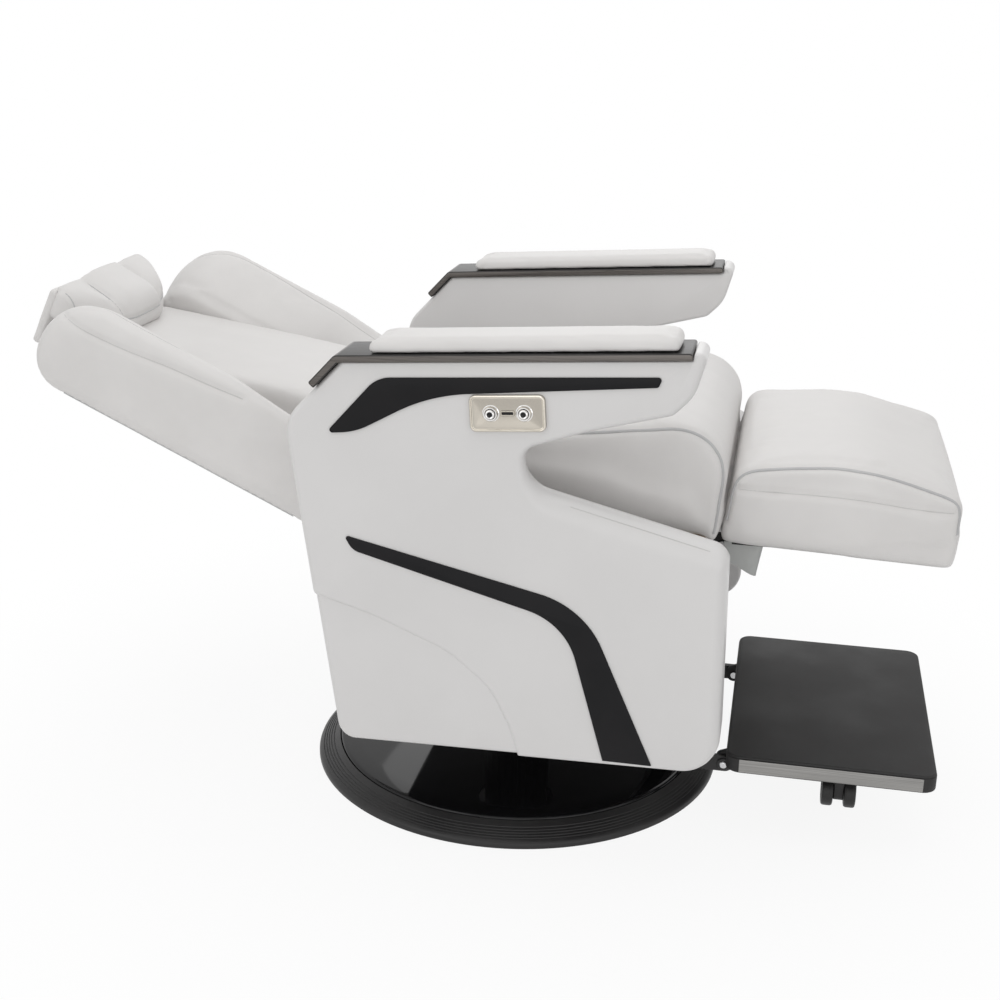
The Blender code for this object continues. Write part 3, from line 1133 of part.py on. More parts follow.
leg_rest(leg_axis)
foot_arms(swivel_axis)
footrest(foot_axis)
casters(foot_axis)
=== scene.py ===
import json
import math
import bmesh
import bpy
from mathutils import Matrix, Vector
from mathutils.bvhtree import BVHTree
from mathutils.kdtree import KDTree


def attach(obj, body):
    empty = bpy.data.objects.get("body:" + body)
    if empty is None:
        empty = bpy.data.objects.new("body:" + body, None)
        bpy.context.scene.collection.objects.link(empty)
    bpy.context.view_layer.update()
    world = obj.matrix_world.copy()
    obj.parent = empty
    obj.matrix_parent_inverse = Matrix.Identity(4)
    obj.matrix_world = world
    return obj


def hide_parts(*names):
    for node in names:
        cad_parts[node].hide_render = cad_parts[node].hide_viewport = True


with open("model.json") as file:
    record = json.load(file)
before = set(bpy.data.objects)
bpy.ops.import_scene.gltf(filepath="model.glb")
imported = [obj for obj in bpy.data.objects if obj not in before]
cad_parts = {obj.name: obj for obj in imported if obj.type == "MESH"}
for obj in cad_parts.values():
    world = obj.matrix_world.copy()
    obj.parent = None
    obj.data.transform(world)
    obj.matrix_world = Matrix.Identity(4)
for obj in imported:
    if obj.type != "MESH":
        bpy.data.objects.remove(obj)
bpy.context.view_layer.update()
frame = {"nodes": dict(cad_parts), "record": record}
scene = bpy.context.scene
sides = (("right", -1), ("left", 1))
print("frame loaded:", len(frame["nodes"]), "nodes")

# camera at the photograph's viewing angle, for a 1000 x 1000 picture
view = {
    "lens": 53.35, "place": (0.391, -2.201, 1.186),
    "yaw": math.radians(11.0), "pitch": math.radians(18.64), "roll": math.radians(1.03),
}


def makeCamera():
    yaw, pitch, roll = view["yaw"], view["pitch"], view["roll"]
    ahead = Vector((-math.sin(yaw) * math.cos(pitch), math.cos(yaw) * math.cos(pitch), -math.sin(pitch)))
    level = Vector((math.cos(yaw), math.sin(yaw), 0))
    rise = level.cross(ahead)
    right = math.cos(roll) * level + math.sin(roll) * rise
    up = -math.sin(roll) * level + math.cos(roll) * rise
    bpy.ops.object.camera_add(location=view["place"])
    camera = bpy.context.object
    camera.data.lens = view["lens"]
    camera.data.sensor_width = 36
    turned = Matrix((right, up, -ahead)).transposed().to_4x4()
    camera.matrix_world = Matrix.Translation(view["place"]) @ turned
    scene.camera = camera


# modelling helpers
def clamp(value):
    return min(1.0, max(0.0, value))


def deselect():
    bpy.ops.object.select_all(action="DESELECT")


def pick(piece):
    deselect()
    piece.select_set(True)
    bpy.context.view_layer.objects.active = piece


def useModifier(piece, kind, **values):
    pick(piece)
    added = piece.modifiers.new(kind.lower(), kind)
    for key, value in values.items():
        setattr(added, key, value)
    bpy.ops.object.modifier_apply(modifier=added.name)


def boxCorners(low, high, radius):
    # a rectangle between two opposite corners, anticlockwise
    (a, b), (c, d) = low, high
    return [(a, b, radius), (c, b, radius), (c, d, radius), (a, d, radius)]


def roundCorners(corners, steps=10):
    # (a, b, radius) corners to points, each radius drawn as a tangent arc
    points = []
    count = len(corners)
    for i, (a, b, radius) in enumerate(corners):
        here = Vector((a, b))
        before = (Vector(corners[i - 1][:2]) - here).normalized()
        after = (Vector(corners[(i + 1) % count][:2]) - here).normalized()
        angle = before.angle(after)
        reach = radius / math.tan(angle / 2)
        centre = here + (before + after).normalized() * radius / math.sin(angle / 2)
        start, end = here + before * reach - centre, here + after * reach - centre
        turn = start.angle_signed(end)
        for k in range(steps + 1):
            points.append(centre + Matrix.Rotation(-turn * k / steps, 2) @ start)
    return points


def shiftCorners(corners, distances):
    # every edge moved inwards by its own distance; the corners run anticlockwise
    moved = []
    count = len(corners)
    for i, (a, b, radius) in enumerate(corners):
        here = Vector((a, b))
        into = (here - Vector(corners[i - 1][:2])).normalized()
        out = (Vector(corners[(i + 1) % count][:2]) - here).normalized()
        first, second = Vector((-into.y, into.x)), Vector((-out.y, out.x))
        one, two = distances[i - 1], distances[i]
        cross = first.x * second.y - first.y * second.x
        if abs(cross) < 0.05:
            shift = (first * one + second * two) / 2
        else:
            shift = Vector((one * second.y - two * first.y, two * first.x - one * second.x)) / cross
        bend = -(one + two) / 2 if into.x * out.y - into.y * out.x > 0 else (one + two) / 2
        moved.append((*(here + shift), max(radius + bend, 0.0008)))
    return moved


def loftRings(name, rings, loop=False, smooth=40):
    # a stack of circles, bridged one to the next and filled at both ends, then moved to the rings' points
    count = len(rings[0])
    deselect()
    bpy.ops.mesh.primitive_circle_add(vertices=count, radius=1)
    piece = bpy.context.object
    piece.name = name
    bpy.ops.object.mode_set(mode="EDIT")
    bpy.ops.mesh.select_mode(type="EDGE")
    for k in range(1, len(rings)):
        bpy.ops.mesh.primitive_circle_add(vertices=count, radius=1, location=(0, 0, k))

    def chooseRings(*numbers):
        bpy.ops.mesh.select_all(action="DESELECT")
        edges = bmesh.from_edit_mesh(piece.data).edges
        edges.ensure_lookup_table()
        for number in numbers:
            for i in range(count):
                edges[number * count + i].select_set(True)

    for k in range(len(rings) - 1):
        chooseRings(k, k + 1)
        bpy.ops.mesh.bridge_edge_loops()
    if loop:
        chooseRings(len(rings) - 1, 0)
        bpy.ops.mesh.bridge_edge_loops()
    else:
        for end in (0, len(rings) - 1):
            chooseRings(end)
            bpy.ops.mesh.edge_face_add()
    mesh = bmesh.from_edit_mesh(piece.data)
    mesh.verts.ensure_lookup_table()
    for k, ring in enumerate(rings):
        for i, point in enumerate(ring):
            mesh.verts[k * count + i].co = point
    bpy.ops.mesh.select_all(action="SELECT")
    bpy.ops.mesh.normals_make_consistent(inside=False)
    bpy.ops.object.mode_set(mode="OBJECT")
    bpy.ops.object.shade_smooth_by_angle(angle=math.radians(smooth))
    return piece


def turnProfile(name, profile, centre=(0, 0, 0), axis="Z", sidesCount=64, loop=False, smooth=40):
    # rings of (radius, height) about an axis through the centre
    rings = []
    for radius, height in profile:
        ring = []
        for i in range(sidesCount):
            angle = 2 * math.pi * i / sidesCount
            a, b = radius * math.cos(angle), radius * math.sin(angle)
            spot = {"X": (height, a, b), "Y": (a, height, b), "Z": (a, b, height)}[axis]
            ring.append(Vector(centre) + Vector(spot))
        rings.append(ring)
    return loftRings(name, rings, loop, smooth)


def roundedLevels(low, high, lowRound, highRound, steps=5):
    # depths with the share of the edge rounding still to come, (depth, low share, high share)
    levels = []
    for k in range(steps + 1):
        turn = math.pi / 2 * k / steps
        levels.append((low + lowRound * (1 - math.cos(turn)), 1 - math.sin(turn), 0.0))
    for k in range(steps, -1, -1):
        turn = math.pi / 2 * k / steps
        levels.append((high - highRound * (1 - math.cos(turn)), 0.0, 1 - math.sin(turn)))
    return levels


def slabPiece(name, corners, toPoint, low, high, lowRound, highRound, steps=10, edgeSteps=4):
    # an outline given a thickness, with both its edges rounded
    rings = []
    for depth, lowShare, highShare in roundedLevels(low, high, lowRound, highRound, edgeSteps):
        inset = lowShare * lowRound + highShare * highRound
        outline = roundCorners(shiftCorners(corners, [inset] * len(corners)), steps)
        rings.append([toPoint(a, b, depth) for a, b in outline])
    return loftRings(name, rings)


def joinPieces(first, others):
    deselect()
    for other in others:
        other.select_set(True)
    first.select_set(True)
    bpy.context.view_layer.objects.active = first
    bpy.ops.object.join()


def paint(piece, *materials):
    piece.data.materials.clear()
    for material in materials:
        piece.data.materials.append(material)


def settle(piece, body, slot, nodes=()):
    # a piece without paint takes its slot's look; it rides on its body and stands for its nodes
    if not any(piece.data.materials):
        paint(piece, looks[slot])
    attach(piece, body)
    if nodes:
        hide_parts(*nodes)


def smoothPath(points, spacing=0.006):
    # a curve through the points, sampled evenly
    spots = [Vector(p) for p in points]
    spots = [2 * spots[0] - spots[1]] + spots + [2 * spots[-1] - spots[-2]]
    path = []
    for before, start, end, after in zip(spots, spots[1:], spots[2:], spots[3:]):
        pieces = max(1, round((end - start).length / spacing))
        for k in range(pieces):
            t = k / pieces
            path.append(0.5 * (
                2 * start + (end - before) * t + (2 * before - 5 * start + 4 * end - after) * t * t
                + (3 * start - before - 3 * end + after) * t ** 3
            ))
    path.append(spots[-2])
    return path


def snapPath(path, onto, lift):
    # the path laid on a cushion's surface, its small jumps smoothed out
    tree = BVHTree.FromObject(onto, bpy.context.evaluated_depsgraph_get())
    laid = []
    for point in path:
        hit, normal, _, _ = tree.find_nearest(point)
        laid.append(hit + normal * lift)
    for _ in range(3):
        inner = [(a + 2 * b + c) / 4 for a, b, c in zip(laid, laid[1:], laid[2:])]
        laid = [laid[0]] + inner + [laid[-1]]
    return laid


def layTube(name, path, radius, sidesStep=3):
    # a round cord along a path, made a mesh
    deselect()
    bpy.ops.curve.primitive_nurbs_path_add()
    cord = bpy.context.object
    cord.name = name
    cord.data.splines.clear()
    spline = cord.data.splines.new("POLY")
    spline.points.add(len(path) - 1)
    for point, spot in zip(spline.points, path):
        point.co = (*spot, 1)
    cord.data.dimensions = "3D"
    cord.data.bevel_depth = radius
    cord.data.bevel_resolution = sidesStep
    cord.data.use_fill_caps = True
    bpy.ops.object.convert(target="MESH")
    cord = bpy.context.object
    bpy.ops.object.shade_smooth()
    return cord


def pressSeam(piece, path, width, depth):
    # the cushion drawn in along a seam
    tree = KDTree(len(path))
    for i, point in enumerate(path):
        tree.insert(point, i)
    tree.balance()
    normals = [v.normal.copy() for v in piece.data.vertices]
    for vertex, normal in zip(piece.data.vertices, normals):
        _, _, distance = tree.find(vertex.co)
        if distance < width:
            vertex.co -= normal * depth * (1 - (distance / width) ** 2) ** 2
    piece.data.update()


def puffUp(piece, voxel, swell, pinned, pressure=4.0, frames=20):
    # remeshed evenly, blown up as cloth, and held back to a small swell
    useModifier(piece, "REMESH", mode="VOXEL", voxel_size=voxel)
    useModifier(piece, "SMOOTH", factor=0.5, iterations=3)
    rest = [v.co.copy() for v in piece.data.vertices]
    held = piece.vertex_groups.new(name="held")
    held.add([i for i, spot in enumerate(rest) if pinned(spot)], 1.0, "REPLACE")
    cloth = piece.modifiers.new("cloth", "CLOTH")
    cloth.settings.use_pressure = True
    cloth.settings.uniform_pressure_force = pressure
    cloth.settings.vertex_group_mass = "held"
    cloth.settings.effector_weights.gravity = 0
    cloth.point_cache.frame_start, cloth.point_cache.frame_end = 1, frames
    for number in range(1, frames + 1):
        scene.frame_set(number)
    pick(piece)
    bpy.ops.object.modifier_apply(modifier="cloth")
    scene.frame_set(1)
    for vertex, spot in zip(piece.data.vertices, rest):
        move = vertex.co - spot
        if move.length > swell:
            vertex.co = spot + move * swell / move.length
    piece.vertex_groups.clear()
    useModifier(piece, "SMOOTH", factor=0.5, iterations=4)
    useModifier(piece, "SUBSURF", levels=1, render_levels=1)
    pick(piece)
    bpy.ops.object.shade_smooth()


def cushionPiece(name, corners, toPoint, half, rounds, steps=8, stations=5, crown=0.0, middle=0.0):
    # one outline carried from side to side, drawn in at both ends by its own rounding
    rows = []
    for k in range(stations + 1):
        turn = math.pi / 2 * k / stations
        rows.append((-half + rounds[0] * (1 - math.cos(turn)), rounds[0] * (1 - math.sin(turn))))
    for share in (-0.6, -0.3, 0.0, 0.3, 0.6):
        rows.append((share * (half - max(rounds)), 0.0))
    for k in range(stations, -1, -1):
        turn = math.pi / 2 * k / stations
        rows.append((half - rounds[1] * (1 - math.cos(turn)), rounds[1] * (1 - math.sin(turn))))
    low = min(corner[1] for corner in corners)
    high = max(corner[1] for corner in corners)
    rings = []
    for y, inset in rows:
        swell = crown * (1 - (y / half) ** 2)
        outline = roundCorners(shiftCorners(corners, [inset] * len(corners)), steps)
        rings.append([toPoint(a, b + swell * (b - low) / (high - low), middle + y) for a, b in outline])
    return loftRings(name, rings)


def sidePoint(side):
    return lambda a, b, depth: Vector((a, side * depth, b))


def flatPoint(a, b, depth):
    return Vector((a, b, depth))


# the back is drawn upright about its hinge: v forwards, u up the back
backHinge = {"x": -0.170, "z": 0.490, "lean": math.radians(65.0)}


def backPoint(v, u, y):
    lean = backHinge["lean"]
    return Vector((
        backHinge["x"] + v * math.cos(lean) - u * math.sin(lean),
        y,
        backHinge["z"] + v * math.sin(lean) + u * math.cos(lean),
    ))


def backPlace(spot):
    # the reverse, from the chair's frame to (v, u, y)
    lean = backHinge["lean"]
    x, z = spot.x - backHinge["x"], spot.z - backHinge["z"]
    return x * math.cos(lean) + z * math.sin(lean), -x * math.sin(lean) + z * math.cos(lean), spot.y


# shared effects
def newGroup(name, label, kind, value):
    # every effect reads a place and one setting, and gives a height and a tone
    group = bpy.data.node_groups.new(name, "ShaderNodeTree")
    group.interface.new_socket(name="Vector", in_out="INPUT", socket_type="NodeSocketVector")
    setting = group.interface.new_socket(name=label, in_out="INPUT", socket_type=kind)
    setting.default_value = value
    for output in ("Height", "Tone"):
        group.interface.new_socket(name=output, in_out="OUTPUT", socket_type="NodeSocketFloat")
    return group, group.nodes.new("NodeGroupInput"), group.nodes.new("NodeGroupOutput")


def addNode(tree, kind, **values):
    node = tree.nodes.new(kind)
    for key, value in values.items():
        if key in node.inputs:
            node.inputs[key].default_value = value
        else:
            setattr(node, key, value)
    return node


def rampTones(tree, low, high):
    ramp = tree.nodes.new("ShaderNodeMapRange")
    ramp.interpolation_type = "SMOOTHSTEP"
    ramp.inputs["From Min"].default_value = low
    ramp.inputs["From Max"].default_value = high
    return ramp


def slowTone(group, given, made, scale, detail):
    # slow changes of tone over the whole piece
    slow = addNode(group, "ShaderNodeTexNoise", Scale=scale, Detail=detail, Roughness=0.6)
    group.links.new(given.outputs["Vector"], slow.inputs["Vector"])
    tone = rampTones(group, 0.3, 0.7)
    group.links.new(slow.outputs["Fac"], tone.inputs["Value"])
    group.links.new(tone.outputs["Result"], made.inputs["Tone"])


def leatherGrain():
    # pebbled grain: raised cells with fine creases
    group, given, made = newGroup("leatherGrain", "Scale", "NodeSocketFloat", 700.0)
    link = group.links.new
    cells = addNode(group, "ShaderNodeTexVoronoi", feature="DISTANCE_TO_EDGE")
    link(given.outputs["Vector"], cells.inputs["Vector"])
    link(given.outputs["Scale"], cells.inputs["Scale"])
    crease = rampTones(group, 0.0, 0.28)
    link(cells.outputs["Distance"], crease.inputs["Value"])
    fine = addNode(group, "ShaderNodeTexNoise", Scale=1900.0, Detail=2.0)
    link(given.outputs["Vector"], fine.inputs["Vector"])
    height = addNode(group, "ShaderNodeMath", operation="MULTIPLY_ADD")
    height.inputs[1].default_value = 0.35
    link(fine.outputs["Fac"], height.inputs[0])
    link(crease.outputs["Result"], height.inputs[2])
    link(height.outputs[0], made.inputs["Height"])
    slowTone(group, given, made, 7.0, 4.0)
    return group


def fineSpeckle():
    # the slight orange peel of mouldings and coatings
    group, given, made = newGroup("fineSpeckle", "Scale", "NodeSocketFloat", 500.0)
    link = group.links.new
    peel = addNode(group, "ShaderNodeTexNoise", Detail=3.0, Roughness=0.55)
    link(given.outputs["Vector"], peel.inputs["Vector"])
    link(given.outputs["Scale"], peel.inputs["Scale"])
    link(peel.outputs["Fac"], made.inputs["Height"])
    slowTone(group, given, made, 5.0, 5.0)
    return group


def brushLines():
    # long thin scratches; Stretch is large across them and small along them
    group, given, made = newGroup("brushLines", "Stretch", "NodeSocketVector", (6.0, 900.0, 900.0))
    link = group.links.new
    spread = addNode(group, "ShaderNodeVectorMath", operation="MULTIPLY")
    link(given.outputs["Vector"], spread.inputs[0])
    link(given.outputs["Stretch"], spread.inputs[1])
    lines = addNode(group, "ShaderNodeTexNoise", Scale=1.0, Detail=3.0, Roughness=0.7)
    link(spread.outputs["Vector"], lines.inputs["Vector"])
    link(lines.outputs["Fac"], made.inputs["Height"])
    tone = rampTones(group, 0.25, 0.75)
    link(lines.outputs["Fac"], tone.inputs["Value"])
    link(tone.outputs["Result"], made.inputs["Tone"])
    return group


effects = {"grain": leatherGrain(), "speckle": fineSpeckle(), "brush": brushLines()}

# one row per finish: two tones of its colour, its range of roughness, and how it is textured
finishes = {
    "white_leather": {
        "colour": ((0.695, 0.680, 0.668), (0.735, 0.720, 0.708)), "rough": (0.40, 0.52),
        "effect": "grain", "scale": 620.0, "bump": 0.16, "depth": 0.0003, "specular": 0.4,
    },
    "piping": {
        "colour": ((0.47, 0.47, 0.475), (0.55, 0.55, 0.55)), "rough": (0.45, 0.6),
        "effect": "grain", "scale": 1400.0, "bump": 0.2, "depth": 0.0002, "specular": 0.35,
    },
    "stitching": {
        "colour": ((0.57, 0.56, 0.55), (0.62, 0.61, 0.60)), "rough": (0.45, 0.6),
        "effect": "grain", "scale": 1400.0, "bump": 0.2, "depth": 0.0002, "specular": 0.35,
    },
    "grey_cloth": {
        "colour": ((0.40, 0.41, 0.40), (0.52, 0.53, 0.52)), "rough": (0.6, 0.8),
        "effect": "grain", "scale": 1100.0, "bump": 0.3, "depth": 0.0003, "specular": 0.3,
    },
    "white_shell": {
        "colour": ((0.700, 0.690, 0.684), (0.722, 0.712, 0.706)), "rough": (0.30, 0.38),
        "effect": "speckle", "scale": 420.0, "bump": 0.05, "depth": 0.0002, "specular": 0.4,
    },
    "black_inlay": {
        "colour": ((0.009, 0.009, 0.010), (0.015, 0.014, 0.015)), "rough": (0.38, 0.5),
        "effect": "speckle", "scale": 1500.0, "bump": 0.12, "depth": 0.0001, "specular": 0.14,
    },
    "bronze_rail": {
        "colour": ((0.105, 0.096, 0.090), (0.15, 0.138, 0.128)), "rough": (0.24, 0.38), "metallic": 0.9,
        "effect": "brush", "stretch": (7.0, 800.0, 800.0), "bump": 0.05, "depth": 0.0001, "specular": 0.5,
    },
    # painted shade for the arm rails: near-black for the band along the rail's top under the pad, a painted
    # shadow, and for the tail, a painted dark reflection
    "rail_painted_shade": {
        "colour": ((0.018, 0.017, 0.017), (0.035, 0.033, 0.032)), "rough": (0.3, 0.4), "metallic": 0.3,
        "effect": "brush", "stretch": (7.0, 800.0, 800.0), "bump": 0.05, "depth": 0.0001, "specular": 0.4,
    },
    "black_gloss": {
        "colour": ((0.006, 0.006, 0.0065), (0.009, 0.009, 0.010)), "rough": (0.035, 0.075),
        "effect": "speckle", "scale": 90.0, "bump": 0.006, "depth": 0.0003, "specular": 0.27,
    },
    "black_paint": {
        "colour": ((0.011, 0.0105, 0.011), (0.019, 0.018, 0.018)), "rough": (0.38, 0.5),
        "effect": "speckle", "scale": 1100.0, "bump": 0.12, "depth": 0.0002, "specular": 0.4,
    },
    "steel": {
        "colour": ((0.50, 0.50, 0.51), (0.62, 0.62, 0.63)), "rough": (0.22, 0.36), "metallic": 1.0,
        "effect": "brush", "stretch": (500.0, 500.0, 30.0), "bump": 0.06, "depth": 0.0001, "specular": 0.5,
    },
    "brushed_steel": {
        "colour": ((0.20, 0.196, 0.19), (0.36, 0.353, 0.342)), "rough": (0.28, 0.42), "metallic": 1.0,
        "effect": "brush", "stretch": (5.0, 700.0, 1500.0), "bump": 0.10, "depth": 0.0001, "specular": 0.5,
    },
    "nickel": {
        "colour": ((0.43, 0.40, 0.35), (0.45, 0.42, 0.37)), "rough": (0.24, 0.27), "metallic": 1.0,
        "effect": "speckle", "scale": 900.0, "bump": 0.01, "depth": 0.0001, "specular": 0.5,
    },
    "nickel_rim": {
        "colour": ((0.58, 0.54, 0.47), (0.66, 0.62, 0.55)), "rough": (0.18, 0.26), "metallic": 1.0,
        "effect": "brush", "stretch": (12.0, 600.0, 600.0), "bump": 0.02, "depth": 0.0001, "specular": 0.5,
    },
    "chrome": {
        "colour": ((0.74, 0.73, 0.72), (0.80, 0.79, 0.78)), "rough": (0.07, 0.14), "metallic": 1.0,
        "effect": "brush", "stretch": (400.0, 400.0, 400.0), "bump": 0.01, "depth": 0.0001, "specular": 0.5,
    },
    "rubber": {
        "colour": ((0.022, 0.022, 0.022), (0.030, 0.029, 0.029)), "rough": (0.5, 0.64),
        "effect": "speckle", "scale": 1700.0, "bump": 0.22, "depth": 0.0002, "specular": 0.3,
    },
    "plywood": {
        "colour": ((0.42, 0.29, 0.17), (0.58, 0.43, 0.27)), "rough": (0.6, 0.75),
        "effect": "brush", "stretch": (9.0, 160.0, 160.0), "bump": 0.15, "depth": 0.0004, "specular": 0.3,
    },
}


def makeFinish(name, row):
    material = bpy.data.materials.new(name)
    material.use_nodes = True
    tree = material.node_tree
    link = tree.links.new
    shader = tree.nodes["Principled BSDF"]
    shader.inputs["Metallic"].default_value = row.get("metallic", 0.0)
    shader.inputs["Specular IOR Level"].default_value = row["specular"]
    place = addNode(tree, "ShaderNodeTexCoord")
    effect = addNode(tree, "ShaderNodeGroup", node_tree=effects[row["effect"]])
    link(place.outputs["Object"], effect.inputs["Vector"])
    if "scale" in row:
        effect.inputs["Scale"].default_value = row["scale"]
    if "stretch" in row:
        effect.inputs["Stretch"].default_value = row["stretch"]
    blend = addNode(tree, "ShaderNodeMix", data_type="RGBA")
    for socket in blend.inputs:
        if socket.type == "RGBA" and socket.name in "AB":
            socket.default_value = (*row["colour"]["AB".index(socket.name)], 1)
    link(effect.outputs["Tone"], blend.inputs["Factor"])
    tinted = [socket for socket in blend.outputs if socket.type == "RGBA"][0]
    link(tinted, shader.inputs["Base Color"])
    spread = addNode(tree, "ShaderNodeMapRange")
    spread.inputs["To Min"].default_value, spread.inputs["To Max"].default_value = row["rough"]
    link(effect.outputs["Tone"], spread.inputs["Value"])
    link(spread.outputs["Result"], shader.inputs["Roughness"])
    bump = addNode(tree, "ShaderNodeBump", Strength=row["bump"], Distance=row["depth"])
    link(effect.outputs["Height"], bump.inputs["Height"])
    link(bump.outputs["Normal"], shader.inputs["Normal"])
    return material


looks = {name: makeFinish(name + "_look", row) for name, row in finishes.items()}
for row in frame["record"]["subparts"]:
    paint(frame["nodes"][row["node"]], looks[row["material_slot"]])
print("finishes made:", len(looks))

# floor plate: ribbed rim, and the polished cover that lies in it
floorPlate = {
    "radius": 0.330, "edge": 0.009, "rimWidth": 0.036, "rimTop": 0.029, "pocket": 0.018,
    "ribs": (0.008, 0.012, 0.016, 0.020, 0.0245), "groove": 0.0011, "halfGroove": 0.0008, "sides": 144,
    "coverOut": 0.2937, "coverIn": 0.0558, "coverEdge": 0.031, "coverCrown": 0.037, "coverUnder": 0.0185,
}


def makeFloorPlate():
    s = floorPlate
    radius, edge, half = s["radius"], s["edge"], s["halfGroove"]
    slope = (s["rimTop"] - edge) / s["rimWidth"]
    inner = radius - s["rimWidth"]
    profile = [(0.002, 0.0), (radius - 0.0012, 0.0), (radius, 0.0012), (radius, edge - 0.003)]
    profile += [(radius - 0.001, edge - 0.0006), (radius - 0.003, edge + slope * 0.003)]
    for into in s["ribs"]:
        height = edge + slope * into
        profile += [
            (radius - into + half, height - slope * half),
            (radius - into + half / 2, height - s["groove"]),
            (radius - into - half / 2, height - s["groove"] + slope * half),
            (radius - into - half, height + slope * half),
        ]
    profile += [(inner + 0.0015, s["rimTop"] - 0.0004), (inner + 0.0003, s["rimTop"] - 0.0016)]
    profile += [(inner, s["pocket"]), (0.002, s["pocket"])]
    disc = turnProfile("floor_plate", profile, sidesCount=s["sides"], smooth=32)
    settle(disc, "base", "black_paint", ["base_disc"])
    out, rim, hole, crown = s["coverOut"], s["coverEdge"], s["coverIn"], s["coverCrown"]
    dome = []
    for k in range(9):
        share = k / 8
        reach = hole + 0.002 + (out - 0.006 - hole - 0.002) * share
        dome.append((reach, crown - (crown - rim - 0.0012) * share ** 2))
    profile = [(hole, s["coverUnder"]), (hole, crown - 0.001)] + dome
    profile += [(out - 0.003, rim + 0.0006), (out - 0.0009, rim - 0.0006)]
    profile += [(out, rim - 0.003), (out, s["coverUnder"])]
    cover = turnProfile("polished_cover", profile, sidesCount=s["sides"], loop=True, smooth=50)
    settle(cover, "base", "black_gloss", ["base_cover"])


# side shells: outer panel with soft edges, stepped in below a curved line at the lower rear
sideShell = {
    "out": 0.368, "inner": 0.290, "innerRound": 0.005, "step": 0.0032, "stepInset": 0.0026,
    # corner (x, z, radius), then its next edge: rounding in the face, rounding in depth and
    # fall towards the seat
    "outline": [
        (-0.199, 0.1705, 0.030, 0.007, 0.010, 0.0), (0.346, 0.1810, 0.050, 0.015, 0.020, 0.0),
        (0.339, 0.5095, 0.026, 0.034, 0.026, 0.026), (0.072, 0.5755, 0.045, 0.010, 0.014, 0.018),
        (0.0615, 0.6265, 0.022, 0.008, 0.010, 0.0), (0.150, 0.6570, 0.200, 0.008, 0.010, 0.0),
        (0.257, 0.6855, 0.020, 0.008, 0.010, 0.0), (0.283, 0.7120, 0.060, 0.008, 0.010, 0.0),
        (0.2985, 0.7695, 0.011, 0.004, 0.005, 0.0), (0.2798, 0.7705, 0.003, 0.0, 0.0, 0.0),
        (0.2798, 0.7602, 0.0008, 0.0025, 0.003, 0.0), (-0.186, 0.7295, 0.012, 0.008, 0.010, 0.0),
        (-0.267, 0.6430, 0.055, 0.010, 0.014, 0.0),
    ],
    "line": [
        (-0.2312, 0.3945, 0.010, 0.008, 0.009, 0.0), (-0.145, 0.3700, 0.120, 0.008, 0.009, 0.0),
        (-0.040, 0.3275, 0.120, 0.008, 0.009, 0.0), (0.022, 0.2780, 0.110, 0.008, 0.009, 0.0),
        (0.051, 0.2200, 0.110, 0.008, 0.009, 0.0), (0.0655, 0.1755, 0.004, 0.007, 0.010, 0.0),
    ],
    "seamTurn": 0.80, "seamStart": 0.08, "seamRun": 0.70,
    "depths": (
        0.0, 0.0003, 0.0012, 0.0028, 0.005, 0.0085, 0.013, 0.018, 0.022, 0.026, 0.034, 0.044, 0.055, 0.066,
    ),
}


def shellRings(outline, side, out, inner, innerRound, steps):
    corners = [row[:3] for row in outline]
    rings = []
    levels = [(depth, 0.0) for depth in sideShell["depths"]]
    for k in range(5):
        turn = math.pi / 2 * k / 4
        levels.append((out - inner - innerRound * (1 - math.sin(turn)), innerRound * (1 - math.cos(turn))))
    for depth, innerInset in levels:
        insets = []
        for *_, flatRound, deepRound, fall in outline:
            inset = innerInset
            if depth < deepRound:
                inset += flatRound * (1 - math.sqrt(1 - (1 - depth / deepRound) ** 2))
            else:
                inset += fall * ((depth - deepRound) / (out - inner - deepRound)) ** 1.2
            insets.append(inset)
        shape = roundCorners(shiftCorners(corners, insets), steps)
        rings.append([Vector((a, side * (out - depth), b)) for a, b in shape])
    return rings


def makeShells():
    s = sideShell
    outline = s["outline"]
    upper = s["line"][-1:] + outline[1:] + s["line"][:-1]
    drawnIn = shiftCorners([row[:3] for row in outline], [s["stepInset"]] * len(outline))
    low = [(*corner, *row[3:]) for corner, row in zip(drawnIn, outline)]
    for name, side in sides:
        rings = shellRings(upper, side, s["out"], s["inner"], s["innerRound"], 12)
        shell = loftRings(f"shell_{name}", rings)
        rings = shellRings(low, side, s["out"] - s["step"], s["inner"] + 0.002, 0.003, 12)
        lower = loftRings("lowerShell", rings)
        useModifier(shell, "BOOLEAN", operation="UNION", object=lower, solver="EXACT")
        bpy.data.objects.remove(lower)
        pick(shell)
        bpy.ops.object.shade_smooth_by_angle(angle=math.radians(28))
        settle(shell, "seat", "white_shell", [f"side_shell_{name}", f"side_liner_{name}"])
        # moulding line in the rounded shoulder below the arm: a real crease, drawn as a thin tube whose
        # darker grey is painted shade along it
        ax, az, _, flatRound, deepRound, _ = outline[2]
        along = Vector((outline[3][0] - ax, 0, outline[3][1] - az))
        inward = Vector((along.z, 0, -along.x)).normalized()
        inward = inward if inward.z < 0 else -inward
        turn = s["seamTurn"]
        y = s["out"] - deepRound * (1 - math.cos(turn)) + 0.0001
        path = []
        for k in range(25):
            spot = Vector((ax, 0, az)) + along * (s["seamStart"] + s["seamRun"] * k / 24)
            spot += inward * flatRound * (1 - math.sin(turn))
            path.append((spot.x, side * y, spot.z))
        seam = layTube(f"shoulder_seam_{name}", path, 0.0005, sidesStep=1)
        # painted shade: the crease tube takes the darker stitching grey, darker than the shell
        paint(seam, looks["stitching"])
        settle(seam, "seat", "white_shell")


